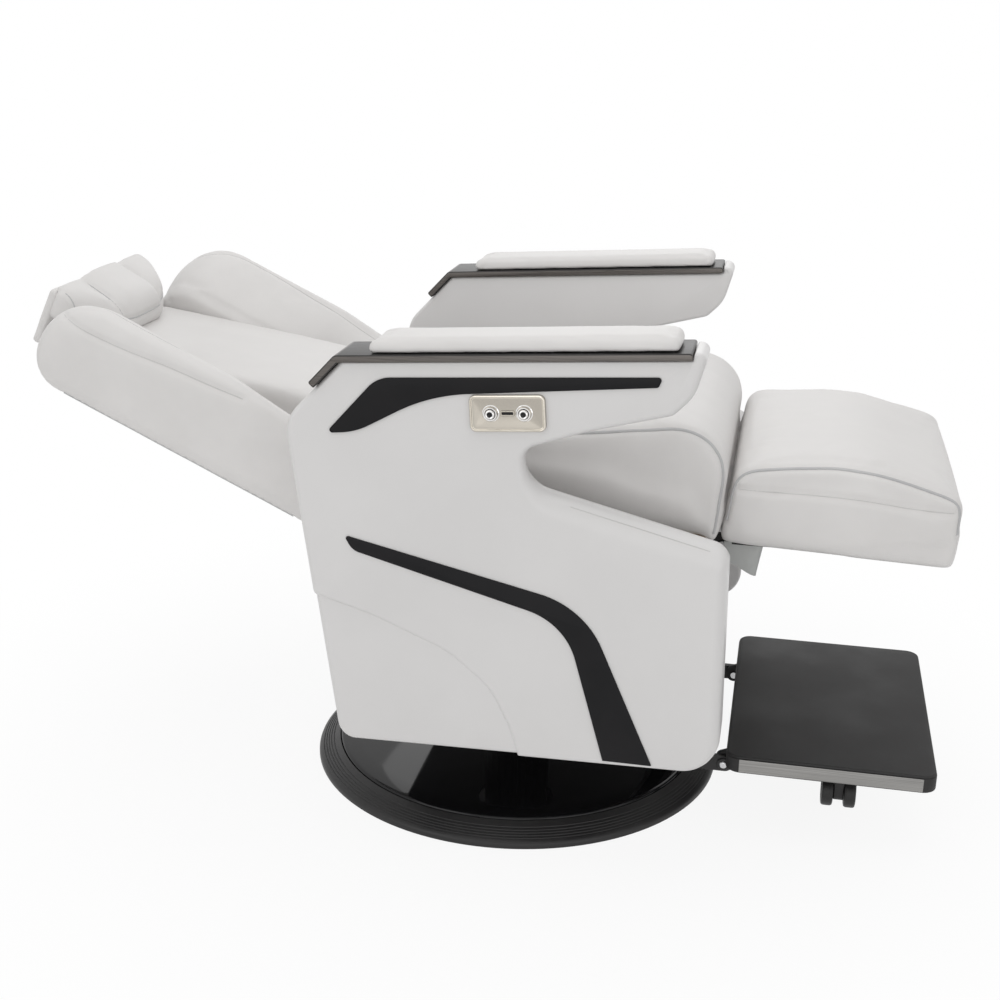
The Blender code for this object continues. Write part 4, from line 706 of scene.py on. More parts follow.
# black inlays let into the shells' faces
inlays = {
    "face": 0.3683, "proud": 0.0019, "edge": 0.0005,
    "upper": [
        (-0.2055, 0.6318, 0.004), (-0.1634, 0.6362, 0.100), (-0.0611, 0.6935, 0.250),
        (0.2372, 0.7233, 0.004), (0.2425, 0.7370, 0.004), (-0.1335, 0.7125, 0.045),
    ],
    "lower": [
        (0.1865, 0.1866, 0.0008), (0.2545, 0.1866, 0.0008), (0.153, 0.4130, 0.125),
        (-0.1825, 0.4880, 0.003), (-0.170, 0.4670, 0.022), (0.1278, 0.3877, 0.095),
    ],
}


def makeInlays():
    s = inlays
    for piece in ("upper", "lower"):
        for name, side in sides:
            strip = slabPiece(
                f"inlay_{piece}_{name}", s[piece], sidePoint(side), s["face"] - 0.002, s["face"] + s["proud"],
                0.0003, s["edge"], 16, 2,
            )
            settle(strip, "seat", "black_inlay", [f"{piece}_inlay_{name}"])


# arm rail with its sloping tail, and the pad that lies on it; the tail and a band along the rail's top are
# painted near-black as painted shade
armRest = {
    "rear": (-0.186, 0.7295), "rise": math.radians(3.8), "length": 0.4655, "thick": 0.0105, "gap": 0.0003,
    # where the painted shadow band along the rail's top begins: its height above the rail's foot, and its
    # distance from the bend
    "paintedShadeFrom": 0.0078, "paintedShadeStart": 0.035, "tail": 0.050, "tailSlope": math.radians(47.0),
    "inner": 0.285, "out": 0.373, "edge": 0.0016,
    "padStart": 0.0415, "padLength": 0.409, "padThick": 0.0185, "padHalf": 0.0425, "middle": 0.329,
    "padRounds": (0.0035, 0.0035, 0.0105, 0.0115), "padEdge": 0.008, "padCrown": 0.0022,
    "voxel": 0.0040, "swell": 0.0020,
}


def armPoint(along, above):
    x, z = armRest["rear"]
    rise = armRest["rise"]
    return (
        x + along * math.cos(rise) - above * math.sin(rise),
        z + along * math.sin(rise) + above * math.cos(rise),
    )


def makeArmRests():
    s = armRest
    tail = Vector((-math.cos(s["tailSlope"]), -math.sin(s["tailSlope"])))
    upTail = Vector((tail.y, -tail.x))
    upArm = Vector((-math.sin(s["rise"]), math.cos(s["rise"])))
    bend = Vector(s["rear"])
    mitre = (upArm + upTail) / (1 + upArm.dot(upTail))
    tip = bend + tail * s["tail"]
    gap = s["gap"]
    corners = [
        (*armPoint(s["length"], gap), 0.0025), (*armPoint(s["length"], s["thick"]), 0.004),
        (*(bend + mitre * s["thick"]), 0.010), (*(tip + upTail * s["thick"]), 0.003),
        (*(tip + upTail * gap), 0.0015), (*(bend + mitre * gap), 0.004),
    ]
    base = s["thick"] + 2 * gap
    high = base + s["padThick"]
    spots = ((0, base), (s["padLength"], base), (s["padLength"], high), (0, high))
    padCorners = []
    for (along, above), radius in zip(spots, s["padRounds"]):
        padCorners.append((*armPoint(s["padStart"] + along, above), radius))
    under = Vector(armPoint(0, base + 0.003))

    def padHeld(spot):
        return (Vector((spot.x, spot.z)) - under).dot(upArm) < 0.0

    for name, side in sides:
        rail = slabPiece(
            f"rail_{name}", corners, sidePoint(side), s["inner"], s["out"], s["edge"], s["edge"], 12,
        )
        # painted shade: the near-black second material goes on the tail's sides as a painted dark reflection,
        # and on a band along the top under the pad as a painted shadow
        paint(rail, looks["bronze_rail"], looks["rail_painted_shade"])
        for face in rail.data.polygons:
            spot = Vector((face.center.x, face.center.z)) - bend
            onTail = spot.x < -0.0005 and abs(face.normal.y) > 0.3
            along = spot.dot(Vector((upArm.y, -upArm.x)))
            upper = spot.x > 0 and spot.dot(upArm) > s["paintedShadeFrom"] and along > s["paintedShadeStart"]
            face.material_index = int(onTail or upper)
        settle(rail, "seat", "bronze_rail", [f"arm_rail_{name}"])
        pad = cushionPiece(
            f"armpad_{name}", padCorners, sidePoint(1), s["padHalf"], (s["padEdge"],) * 2, 6, 4,
            s["padCrown"], side * s["middle"],
        )
        puffUp(pad, s["voxel"], s["swell"], padHeld)
        settle(pad, "seat", "white_leather", [f"arm_pad_{name}"])


# control plate on the right arm: raised rim, dished face, two ringed buttons and a slot
controls = {
    "along": 0.2250, "below": 0.0680, "length": 0.1015, "height": 0.0495, "thick": 0.0055,
    "corner": 0.0085, "tilt": math.radians(4.0), "back": 0.3683, "rim": 0.0030, "dish": 0.0016,
    "floorDish": 0.0034, "spacing": 0.0445, "collar": 0.0098, "button": 0.0062, "collarUp": 0.0022,
    "proud": 0.0035, "slotLength": 0.019, "slotHeight": 0.0075, "slotCorner": 0.0026,
    # inset, corner and share of the depth of each step of the bowl
    "bowl": [(0.010, 0.0061, 0.42), (0.014, 0.0097, 0.74), (0.018, 0.0066, 0.93), (0.0225, 0.0021, 1.0)],
}


def makeControls():
    s = controls
    middle = Vector(armPoint(s["along"], -s["below"]))
    tilt = Matrix.Rotation(s["tilt"], 2)
    face = s["back"] + s["thick"]
    rim, bed = s["rim"], face - s["dish"]

    def plateCorners(length, height, radius):
        spots = ((-length, -height), (length, -height), (length, height), (-length, height))
        return [(*(middle + tilt @ Vector((a / 2, b / 2))), radius) for a, b in spots]

    rings = []
    for inset, depth in (
        (0.0, s["back"]), (0.0, face - 0.0024), (0.0004, face - 0.0010), (0.0014, face - 0.0001),
        (0.0022, face), (rim, face - 0.0003), (rim + 0.0006, bed + 0.0003), (rim + 0.0014, bed),
        (rim + 0.0030, bed),
    ):
        corners = shiftCorners(plateCorners(s["length"], s["height"], s["corner"]), [inset] * 4)
        rings.append([Vector((a, -depth, b)) for a, b in roundCorners(corners, 8)])
    for inset, radius, share in s["bowl"]:
        corners = plateCorners(s["length"] - 2 * inset, s["height"] - 2 * inset, radius)
        depth = bed - (s["floorDish"] - s["dish"]) * share
        rings.append([Vector((a, -depth, b)) for a, b in roundCorners(corners, 8)])
    bezel = loftRings("controls", rings, smooth=16)
    paint(bezel, looks["nickel"], looks["nickel_rim"])
    for polygon in bezel.data.polygons:
        polygon.material_index = int(polygon.center.y < -(bed + 0.0001))
    settle(bezel, "seat", "nickel", ["control_bezel"])
    floor = -(face - s["floorDish"])
    front = -(face + s["collarUp"])
    for name, share in (("rear", -0.5), ("front", 0.5)):
        spot = middle + tilt @ Vector((share * s["spacing"], 0))
        centre = (spot.x, 0, spot.y)
        around, radius = s["collar"], s["button"]
        ring = [
            (radius + 0.0006, floor + 0.0012), (around + 0.0016, floor + 0.0012),
            (around + 0.0016, floor - 0.0006), (around + 0.0004, floor - 0.0014),
            (around, front + 0.0012), (around - 0.0008, front - 0.0004),
            (radius + 0.0014, front - 0.0004), (radius + 0.0006, front + 0.0006),
        ]
        collar = turnProfile(f"ring_{name}", ring, centre, "Y", 40, True)
        paint(collar, looks["chrome"])
        settle(collar, "seat", "nickel")
        top = front - s["proud"]
        knob = [
            (radius, floor - 0.0022), (radius, top + 0.0012), (radius - 0.0006, top + 0.0003),
            (radius - 0.0014, top), (radius - 0.0024, top + 0.0006), (0.0008, top + 0.0010),
        ]
        button = turnProfile(f"knob_{name}", knob, centre, "Y", 40)
        paint(button, looks["black_gloss"], looks["chrome"])
        for polygon in button.data.polygons:
            away = Vector((polygon.center.x - spot.x, polygon.center.z - spot.y)).length
            polygon.material_index = int(away > radius - 0.0026)
        settle(button, f"button_{name}", "black_gloss", [f"button_{name}"])
    rings = []
    for inset, depth in (
        (0.0, floor + 0.001), (0.0, floor - 0.0012), (0.0005, floor - 0.0017), (0.0014, floor - 0.0017),
        (0.0019, floor - 0.0012), (0.0021, floor - 0.0004),
    ):
        corners = shiftCorners(plateCorners(s["slotLength"], s["slotHeight"], s["slotCorner"]), [inset] * 4)
        rings.append([Vector((a, depth, b)) for a, b in roundCorners(corners, 5)])
    socket = loftRings("controls_slot", rings, smooth=50)
    paint(socket, looks["nickel"], looks["black_gloss"])
    for polygon in socket.data.polygons:
        polygon.material_index = int(polygon.center.y > floor - 0.0006 and polygon.area > 0.00002)
    settle(socket, "seat", "black_gloss", ["socket_insert"])


# covers that close the body between the shells
bodyCovers = {
    "half": 0.2895, "foot": 0.188, "rearFoot": -0.192, "rearTop": 0.380, "lean": -0.1485, "wall": 0.005,
    "frontX": 0.288, "frontTop": 0.372, "corner": 0.012, "panelInset": 0.030, "panelDepth": 0.0016,
}


def coverPanel(name, half, low, high, toSpot, thick):
    # a flat cover with rounded edges and a shallow raised field
    s = bodyCovers
    corners = boxCorners((-half, low), (half, high), s["corner"])
    field, deep = s["panelInset"], s["panelDepth"]
    rings = []
    for inset, depth in (
        (0.0015, thick), (0.0, thick - 0.0015), (0.0, 0.0032), (0.0005, 0.0022), (0.0016, deep),
        (field, deep), (field + 0.001, deep - 0.0005), (field + 0.004, 0.0002), (field + 0.006, 0.0),
    ):
        shape = roundCorners(shiftCorners(corners, [inset] * 4), 8)
        rings.append([toSpot(a, b, depth) for a, b in shape])
    return loftRings(name, rings, smooth=45)


def makeBodyCovers():
    s = bodyCovers

    def rearSpot(y, z, depth):
        return Vector((s["rearFoot"] + s["lean"] * (z - s["foot"]) + depth, y, z))

    def frontSpot(y, z, depth):
        return Vector((s["frontX"] - depth, y, z))

    rear = coverPanel("cover_rear", s["half"], s["foot"], s["rearTop"], rearSpot, s["wall"])
    front = coverPanel("cover_front", s["half"], s["foot"], s["frontTop"], frontSpot, s["wall"])
    for cover, node in ((rear, "rear_cover"), (front, "front_cover")):
        settle(cover, "seat", "white_shell", [node])


# footrest: moulded board with steel strips along its sides, its mat, hinge lugs, bolts and casters
footRest = {
    "rear": 0.352, "front": 0.655, "half": 0.226, "corner": 0.022, "top": 0.1395, "mat": 0.0035,
    "under": 0.1132, "wall": 0.004, "pivotX": 0.348, "pivotZ": 0.095,
    "lugOut": 0.1601, "lugThick": 0.0085, "lugLength": 0.230, "lugSlope": 0.030, "bar": 0.012,
    "boltOut": 0.1700, "bolt": 0.010, "boltHead": 0.005, "socket": 0.0057,
    "stripLow": 0.1148, "stripHigh": 0.1352, "stripProud": 0.0008, "stripCorner": 0.0012,
}


def makeFootRest():
    s = footRest
    corners = boxCorners((s["rear"], -s["half"]), (s["front"], s["half"]), s["corner"])
    wall, under = s["wall"], s["under"]
    trayTop = s["top"] - s["mat"] - 0.0003
    rings = []
    for inset, height in (
        (0.020, trayTop - wall), (wall + 0.001, trayTop - wall), (wall, trayTop - wall - 0.001),
        (wall, under + 0.0006), (wall - 0.0008, under), (0.0014, under), (0.0004, under + 0.0004),
        (0.0, under + 0.0014), (0.0, trayTop - 0.0016), (0.0004, trayTop - 0.0005), (0.0014, trayTop),
    ):
        shape = roundCorners(shiftCorners(corners, [inset] * 4), 10)
        rings.append([Vector((a, b, height)) for a, b in shape])
    tray = loftRings("footboard", rings, smooth=45)
    lugRear, lugLow = s["pivotX"] - s["bar"], s["pivotZ"] - s["bar"]
    lugTop = trayTop - wall + 0.001
    lugEnd = lugRear + s["lugLength"]
    lugIn = s["lugOut"] - s["lugThick"]
    lug = [
        (lugRear, lugLow, 0.0115), (lugEnd - s["lugSlope"], lugLow, 0.004), (lugEnd, under, 0.004),
        (lugEnd, lugTop, 0.0008), (s["rear"] + 0.002, lugTop, 0.0008),
        (s["rear"] + 0.002, under + 0.001, 0.0008), (lugRear, s["pivotZ"] + s["bar"], 0.010),
    ]
    lugs = []
    for _, side in sides:
        lugs.append(slabPiece("lug", lug, sidePoint(side), lugIn, s["lugOut"], 0.0008, 0.0008, 8, 2))
    joinPieces(tray, lugs)
    paint(tray, looks["rubber"])
    settle(tray, "footrest", "brushed_steel", ["foot_tray"])
    matCorners = shiftCorners(corners, [0.0008] * 4)
    mat = slabPiece("footmat", matCorners, flatPoint, trayTop + 0.0003, s["top"], 0.0006, 0.003, 10)
    settle(mat, "footrest", "rubber", ["foot_mat"])
    ends = (s["rear"] + s["corner"] * 0.9, s["front"] - s["corner"] * 0.9)
    bar = boxCorners((ends[0], s["stripLow"]), (ends[1], s["stripHigh"]), s["stripCorner"])
    for name, side in sides:
        strip = slabPiece(
            f"foot_strip_{name}", bar, sidePoint(side), s["half"] - 0.002, s["half"] + s["stripProud"],
            0.0004, 0.0007, 4, 3,
        )
        settle(strip, "footrest", "brushed_steel")
        centre = (s["pivotX"], 0, s["pivotZ"])
        out, inside, head = s["boltOut"], lugIn - 0.003, s["bolt"]
        profile = [
            (0.0055, inside), (0.006, inside + 0.0006), (0.006, out), (head, out), (head, out + 0.0016),
            (head - 0.0008, out + 0.0024), (0.0056, out + 0.0026), (0.0056, out + 0.0036),
            (0.0046, out + 0.0046), (0.0026, out + s["boltHead"]), (0.0006, out + s["boltHead"]),
        ]
        bolt = turnProfile(f"bolt_{name}", [(r, side * y) for r, y in profile], centre, "Y", 32)
        paint(bolt, looks["steel"], looks["black_paint"])
        for polygon in bolt.data.polygons:
            away = Vector((polygon.center.x - s["pivotX"], polygon.center.z - s["pivotZ"])).length
            polygon.material_index = int(away > s["socket"])
        settle(bolt, "seat", "steel", [f"foot_bolt_{name}"])


# casters: twin wheels on one axle, and the fork between them; (radius, place along the axle)
casterWheels = {
    "x": 0.526, "y": 0.085, "z": 0.026, "space": 0.0165, "axle": 0.0035,
    "forkHalf": 0.00765, "forkDepth": 0.017, "forkFoot": 0.0145, "forkTop": 0.068,
    "stem": 0.009, "stemTop": 0.1314,
    "wheel": [
        (0.0045, 0.0016), (0.0125, 0.0016), (0.0145, 0.0), (0.0205, 0.0), (0.0235, 0.0008), (0.0247, 0.0028),
        (0.025, 0.005), (0.025, 0.013), (0.0247, 0.0152), (0.0235, 0.0172), (0.0205, 0.018), (0.0165, 0.018),
        (0.0155, 0.0166), (0.0065, 0.0166), (0.006, 0.0176), (0.0045, 0.0178),
    ],
}


def makeCasters():
    s = casterWheels
    for name, side in sides:
        centre = (s["x"], side * s["y"], s["z"])
        pair = []
        for end in (-1, 1):
            rows = [(r, end * (s["space"] / 2 + h)) for r, h in s["wheel"]]
            pair.append(turnProfile("wheel", rows, centre, "X", 48, True))
        reach = s["space"] / 2 + 0.0172
        pin = [(0.002, -reach), (s["axle"], -reach + 0.0008), (s["axle"], reach - 0.0008), (0.002, reach)]
        axle = turnProfile(f"wheels_{name}", pin, centre, "X", 24)
        joinPieces(axle, pair)
        paint(axle, looks["black_paint"])
        settle(axle, f"caster_{name}", "rubber", [f"caster_wheels_{name}"])
        y = side * s["y"]
        block = [
            (y - s["forkDepth"], s["forkFoot"], 0.010), (y + s["forkDepth"], s["forkFoot"], 0.010),
            (y + s["forkDepth"], s["forkTop"], 0.014), (y - s["forkDepth"], s["forkTop"], 0.014),
        ]

        def forkPoint(a, b, depth):
            return Vector((s["x"] + depth, a, b))

        fork = slabPiece(f"fork_{name}", block, forkPoint, -s["forkHalf"], s["forkHalf"], 0.0015, 0.0015, 8)
        stem, shoulder = s["stem"], s["forkTop"]
        post = [(stem + 0.003, shoulder - 0.006), (stem + 0.003, shoulder + 0.002), (stem, shoulder + 0.004)]
        post += [(stem, s["stemTop"] - 0.001), (stem - 0.001, s["stemTop"])]
        joinPieces(fork, [turnProfile("post", post, (s["x"], y, 0), "Z", 32)])
        settle(fork, "footrest", "black_paint", [f"caster_fork_{name}"])


# piping and stitching
def makePiping(name, path, onto, body, radius=0.0021, sink=0.2, width=0.011, depth=0.0022, look="piping"):
    # the cushion is drawn in along the seam, and the piping lies in the fold
    laid = snapPath(path, onto, 0.0)
    pressSeam(onto, laid, width, depth)
    cord = layTube(name, snapPath(laid, onto, radius * sink), radius)
    paint(cord, looks[look])
    settle(cord, body, "white_leather")


def wideCushion(name, s):
    # a cushion's outline carried across the chair
    return cushionPiece(name, s["outline"], sidePoint(1), s["half"], s["rounds"], 10, 5, s["crown"])


# seat cushion: outline (x, z, corner), and the run of its piping
seatCushion = {
    "half": 0.246, "rounds": (0.016, 0.016), "crown": 0.008, "voxel": 0.0075, "swell": 0.0040,
    "heldBelow": 0.486, "heldBehind": -0.09, "pipeAt": 0.243, "pipeUp": 0.004,
    "outline": [
        (-0.103, 0.4812, 0.012), (0.3030, 0.4812, 0.001), (0.3050, 0.4720, 0.001), (0.3180, 0.4720, 0.006),
        (0.3420, 0.6485, 0.070), (-0.103, 0.5995, 0.030),
    ],
    "pipe": [
        (0.3195, 0.482), (0.3245, 0.510), (0.3300, 0.540), (0.3320, 0.562), (0.3290, 0.588),
        (0.3200, 0.607), (0.3050, 0.624), (0.2860, 0.633), (0.2688, 0.6375), (0.2321, 0.6405),
        (0.1955, 0.6376), (0.149, 0.630), (0.050, 0.618), (-0.030, 0.609), (-0.085, 0.600),
    ],
}


def makeSeatCushion():
    s = seatCushion
    cushion = wideCushion("cushion_seat", s)

    def seatHeld(spot):
        return spot.z < s["heldBelow"] or spot.x < s["heldBehind"]

    puffUp(cushion, s["voxel"], s["swell"], seatHeld)
    for name, side in sides:
        path = smoothPath([(x, side * s["pipeAt"], z + s["pipeUp"]) for x, z in s["pipe"]])
        makePiping(f"seat_piping_{name}", path, cushion, "seat")
    settle(cushion, "seat", "white_leather", ["seat_cushion"])


# leg cushion, with piping along its top edge and a seam along its sides
legCushion = {
    "half": 0.2285, "rounds": (0.010, 0.010), "crown": 0.007, "voxel": 0.0060, "swell": 0.0030,
    "heldBelow": 0.472, "heldEnd": 0.630, "heldEndBelow": 0.500, "pipeAt": 0.222, "pipeUp": 0.003,
    "seamOut": 0.004,
    "outline": [
        (0.3205, 0.4690, 0.006), (0.6400, 0.4560, 0.005), (0.6490, 0.5560, 0.022), (0.5000, 0.5985, 0.300),
        (0.3335, 0.5825, 0.030),
    ],
    "pipe": [
        (0.3270, 0.500), (0.3285, 0.530), (0.3300, 0.5463), (0.3370, 0.5593), (0.3475, 0.5683),
        (0.3646, 0.5758), (0.3946, 0.5814), (0.4319, 0.5867), (0.4692, 0.5889), (0.4991, 0.5880),
        (0.5327, 0.5851), (0.5664, 0.5790), (0.5892, 0.5717), (0.6120, 0.5636), (0.6312, 0.5553),
        (0.6393, 0.5479), (0.6445, 0.5344), (0.6435, 0.505),
    ],
    "seam": [
        (0.340, 0.5517), (0.442, 0.5519), (0.502, 0.5497), (0.555, 0.5452), (0.592, 0.5423), (0.634, 0.5395),
    ],
}


def makeLegCushion():
    s = legCushion
    cushion = wideCushion("cushion_leg", s)

    def legHeld(spot):
        return spot.z < s["heldBelow"] or (spot.x > s["heldEnd"] and spot.z < s["heldEndBelow"])

    puffUp(cushion, s["voxel"], s["swell"], legHeld)
    for name, side in sides:
        path = smoothPath([(x, side * s["pipeAt"], z + s["pipeUp"]) for x, z in s["pipe"]])
        makePiping(f"leg_piping_{name}", path, cushion, "leg_rest")
        path = smoothPath([(x, side * (s["half"] + s["seamOut"]), z) for x, z in s["seam"]])
        makePiping(f"leg_seam_{name}", path, cushion, "leg_rest", 0.0006, 0.0, 0.010, 0.0018, "stitching")
    settle(cushion, "leg_rest", "white_leather", ["leg_cushion"])


# back pad: outline (v, u, corner), crowned across
backPad = {
    "half": 0.1588, "rounds": (0.012, 0.012), "crown": 0.006, "voxel": 0.0070, "swell": 0.0030,
    "heldBehind": -0.040, "heldBeyond": 0.150,
    "outline": [
        (-0.0470, 0.031, 0.008), (0.0520, 0.031, 0.020), (0.0640, 0.190, 0.100),
        (0.0380, 0.285, 0.150), (-0.0340, 0.529, 0.006), (-0.0470, 0.529, 0.004),
    ],
}


def makeBackPad():
    s = backPad

    def padPoint(a, b, y):
        lift = s["crown"] * (1 - (y / s["half"]) ** 2) if a > 0 else 0.0
        return backPoint(a + lift, b, y)

    def backHeld(spot):
        return backPlace(spot)[0] < s["heldBehind"] or abs(spot.y) > s["heldBeyond"]

    pad = cushionPiece("pad_back", s["outline"], padPoint, s["half"], s["rounds"], 10, 4)
    puffUp(pad, s["voxel"], s["swell"], backHeld)
    settle(pad, "back", "white_leather", ["back_pad"])


# wings: a tall outer face, a crest near it, and a long slope down to the pad
backWing = {
    "inner": 0.1605, "out": 0.2785, "crest": 0.2600, "voxel": 0.0060, "swell": 0.0030,
    "outline": [
        (-0.0675, 0.060, 0.020), (0.0580, 0.060, 0.030), (0.0795, 0.255, 0.250), (0.0795, 0.553, 0.092),
        (-0.0675, 0.553, 0.054),
    ],
    # for each edge: rounding outside, its depth, fall inside
    "edges": [
        (0.015, 0.015, 0.020), (0.016, 0.0185, 0.082), (0.016, 0.0185, 0.082), (0.022, 0.050, 0.020),
        (0.009, 0.010, 0.006),
    ],
    "outerSeam": [
        (0.052, 0.533, 0.2765), (0.046, 0.524, 0.2765), (0.040, 0.498, 0.2765), (0.040, 0.463, 0.2765),
        (0.0445, 0.403, 0.2765), (0.0515, 0.343, 0.2765), (0.056, 0.283, 0.2765), (0.0613, 0.235, 0.2765),
    ],
    "innerSeam": [
        (-0.025, 0.521, 0.165), (-0.018, 0.536, 0.194), (0.003, 0.543, 0.225), (0.024, 0.538, 0.244),
        (0.038, 0.528, 0.243), (0.057, 0.506, 0.243), (0.070, 0.483, 0.247), (0.075, 0.461, 0.251),
        (0.076, 0.437, 0.254), (0.076, 0.382, 0.253), (0.073, 0.319, 0.247), (0.071, 0.250, 0.243),
        (0.064, 0.150, 0.240),
    ],
    "stations": 26,
    # how far the inner slope sinks below the pad near the hinge, and where that starts and is full
    "sink": 0.034, "sinkFrom": 0.285, "sinkFull": 0.190, "sinkFront": 0.03,
    "heldBehind": -0.055, "heldInner": 0.012,
    "pipeRear": -0.066, "pipeFrom": 0.10, "pipeLength": 0.38, "pipeIn": 0.004,
}


def makeWings():
    s = backWing
    width = s["out"] - s["inner"]
    for name, side in sides:
        rings = []
        for k in range(s["stations"] + 1):
            share = (1 - math.cos(math.pi * k / s["stations"])) / 2
            depth = width * share
            beyond = (depth - (s["out"] - s["crest"])) / (s["crest"] - s["inner"])
            insets = []
            for outRound, deepRound, fall in s["edges"]:
                inset = 0.0
                if depth < deepRound:
                    inset = outRound * (1 - math.sqrt(1 - (1 - depth / deepRound) ** 2))
                if beyond > 0:
                    inset += fall * beyond ** 1.5
                insets.append(inset)
            ring = []
            for v, u in roundCorners(shiftCorners(s["outline"], insets), 10):
                near = clamp((s["sinkFrom"] - u) / (s["sinkFrom"] - s["sinkFull"]))
                sunk = s["sink"] * clamp(beyond) * near * clamp(v / s["sinkFront"])
                ring.append(backPoint(v - sunk, u, side * (s["out"] - depth)))
            rings.append(ring)
        wing = loftRings(f"wing_{name}", rings)

        def wingHeld(spot):
            v, _, y = backPlace(spot)
            return v < s["heldBehind"] or abs(y) < s["inner"] + s["heldInner"]

        puffUp(wing, s["voxel"], s["swell"], wingHeld)
        for label in ("outer", "inner"):
            path = smoothPath([backPoint(v, u, side * y) for v, u, y in s[label + "Seam"]])
            seam = f"wing_{label}_seam_{name}"
            makePiping(seam, path, wing, "back", 0.0007, 0.0, 0.009, 0.0018, "stitching")
        edge = []
        for k in range(31):
            u = s["pipeFrom"] + s["pipeLength"] * k / 30
            edge.append(backPoint(s["pipeRear"], u, side * (s["out"] - s["pipeIn"])))
        makePiping(f"wing_rear_piping_{name}", edge, wing, "back", 0.0014, 0.3, 0.008, 0.001)
        settle(wing, "back", "white_leather", [f"back_wing_{name}"])


# panel that covers the back from behind
backPanel = {
    "half": 0.168, "foot": 0.031, "top": 0.558, "rear": -0.0675, "front": -0.0582, "corner": 0.018,
    "round": 0.0042, "voxel": 0.005, "swell": 0.0015, "heldFrom": -0.062, "seamIn": 0.020,
}


def makeBackPanel():
    s = backPanel
    corners = boxCorners((-s["half"], s["foot"]), (s["half"], s["top"]), s["corner"])

    def panelPoint(a, b, depth):
        return backPoint(depth, b, a)

    panel = slabPiece("panel_back", corners, panelPoint, s["rear"], s["front"], s["round"], 0.001, 8)
    puffUp(panel, s["voxel"], s["swell"], lambda spot: backPlace(spot)[0] > s["heldFrom"])
    inset = roundCorners(shiftCorners(corners, [s["seamIn"]] * 4), 8)
    path = smoothPath([backPoint(s["rear"] - 0.002, u, y) for y, u in inset + inset[:1]])
    makePiping("back_panel_seam", path, panel, "back", 0.0009, 0.0, 0.010, 0.0014)
    settle(panel, "back", "white_leather", ["back_shell"])


# head pillow: rounded in plan, three puffs, lying a little askew; its flap hangs behind the back
pillow = {
    "half": 0.146, "edge": 0.016, "voxel": 0.0045, "swell": 0.0030,
    "seamY": 0.065, "dip": 0.012, "dipWidth": 0.016, "dipTop": 0.020, "puff": 0.005, "tilt": 0.035,
    "puffFrom": -0.022, "puffOver": 0.030, "heldBehind": -0.020, "heldSeam": 0.004,
    # the back pad's face under the pillow: its fall over a run, and where that starts
    "padFall": 0.070, "padRun": 0.320, "padFrom": 0.210, "padAt": 0.0405,
    "foot": 0.490, "straight": 0.035, "sweep": 0.026, "sweepOver": 0.070, "footMost": 0.555,
    "front": 0.0300, "frontRound": 0.046, "top": 0.5980, "topRound": 0.007, "rear": -0.0292, "step": 0.5345,
    "seam": [
        (0.0150, 0.5955), (0.0200, 0.5750), (0.0190, 0.5450), (0.0100, 0.5180), (-0.0050, 0.5000),
        (-0.0140, 0.4960),
    ],
    "end": [
        (0.0190, 0.5940), (0.0262, 0.5850), (0.0225, 0.5720), (0.0120, 0.5600), (-0.0040, 0.5520),
        (-0.0210, 0.5500),
    ],
    "endAt": 0.138, "pipeAt": 0.0060, "pipeHalf": 0.120,
    "flap": [
        (-0.0765, 0.5895, 0.006), (0.0110, 0.5895, 0.003), (0.0160, 0.5945, 0.003), (0.0160, 0.6045, 0.003),
        (-0.0765, 0.6045, 0.005),
    ],
    "flapHalf": 0.1435, "flapRounds": (0.004, 0.004), "flapVoxel": 0.0028, "flapSwell": 0.0008,
    "flapHeld": -0.040,
}


def pillowFoot(y):
    s = pillow
    swept = max(0.0, (abs(y) - s["straight"]) / s["sweepOver"])
    return min(s["footMost"], s["foot"] + s["sweep"] * swept ** 2)


def pillowRing(y):
    # one section of the pillow, drawn in towards its ends and along its seams
    s = pillow
    gone = max(0.0, abs(y) - (s["half"] - s["edge"])) / s["edge"]
    foot = pillowFoot(y)
    inset = min(s["edge"], 0.36 * (s["top"] - foot)) * (1 - math.sqrt(max(0.0, 1 - gone * gone)))
    under = -s["padFall"] * (foot - s["padFrom"]) / s["padRun"] + s["padAt"]
    frontRound = min(s["frontRound"], (s["top"] - foot) * 0.8)
    corners = [(max(under, s["rear"]), foot, 0.004), (s["front"], foot, frontRound)]
    corners += [(s["front"], s["top"], s["topRound"]), (s["rear"], s["top"], 0.004)]
    if foot < s["step"] - 0.004:
        corners.append((s["rear"], s["step"], 0.002))
    else:
        corners.append((s["rear"] - 0.002, (foot + s["top"]) / 2, 0.002))
    seam = s["dip"] * math.exp(-((abs(y) - s["seamY"]) / s["dipWidth"]) ** 2)
    ring = []
    for v, u in roundCorners(shiftCorners(corners, [inset] * len(corners)), 8):
        share = clamp((v - s["puffFrom"]) / s["puffOver"])
        dip = seam * clamp((s["top"] - u) / s["dipTop"])
        rise = s["puff"] * max(0.0, 1 - (y / s["seamY"]) ** 2) + s["tilt"] * y
        ring.append(backPoint(v + (rise - dip) * share, u, y))
    return ring


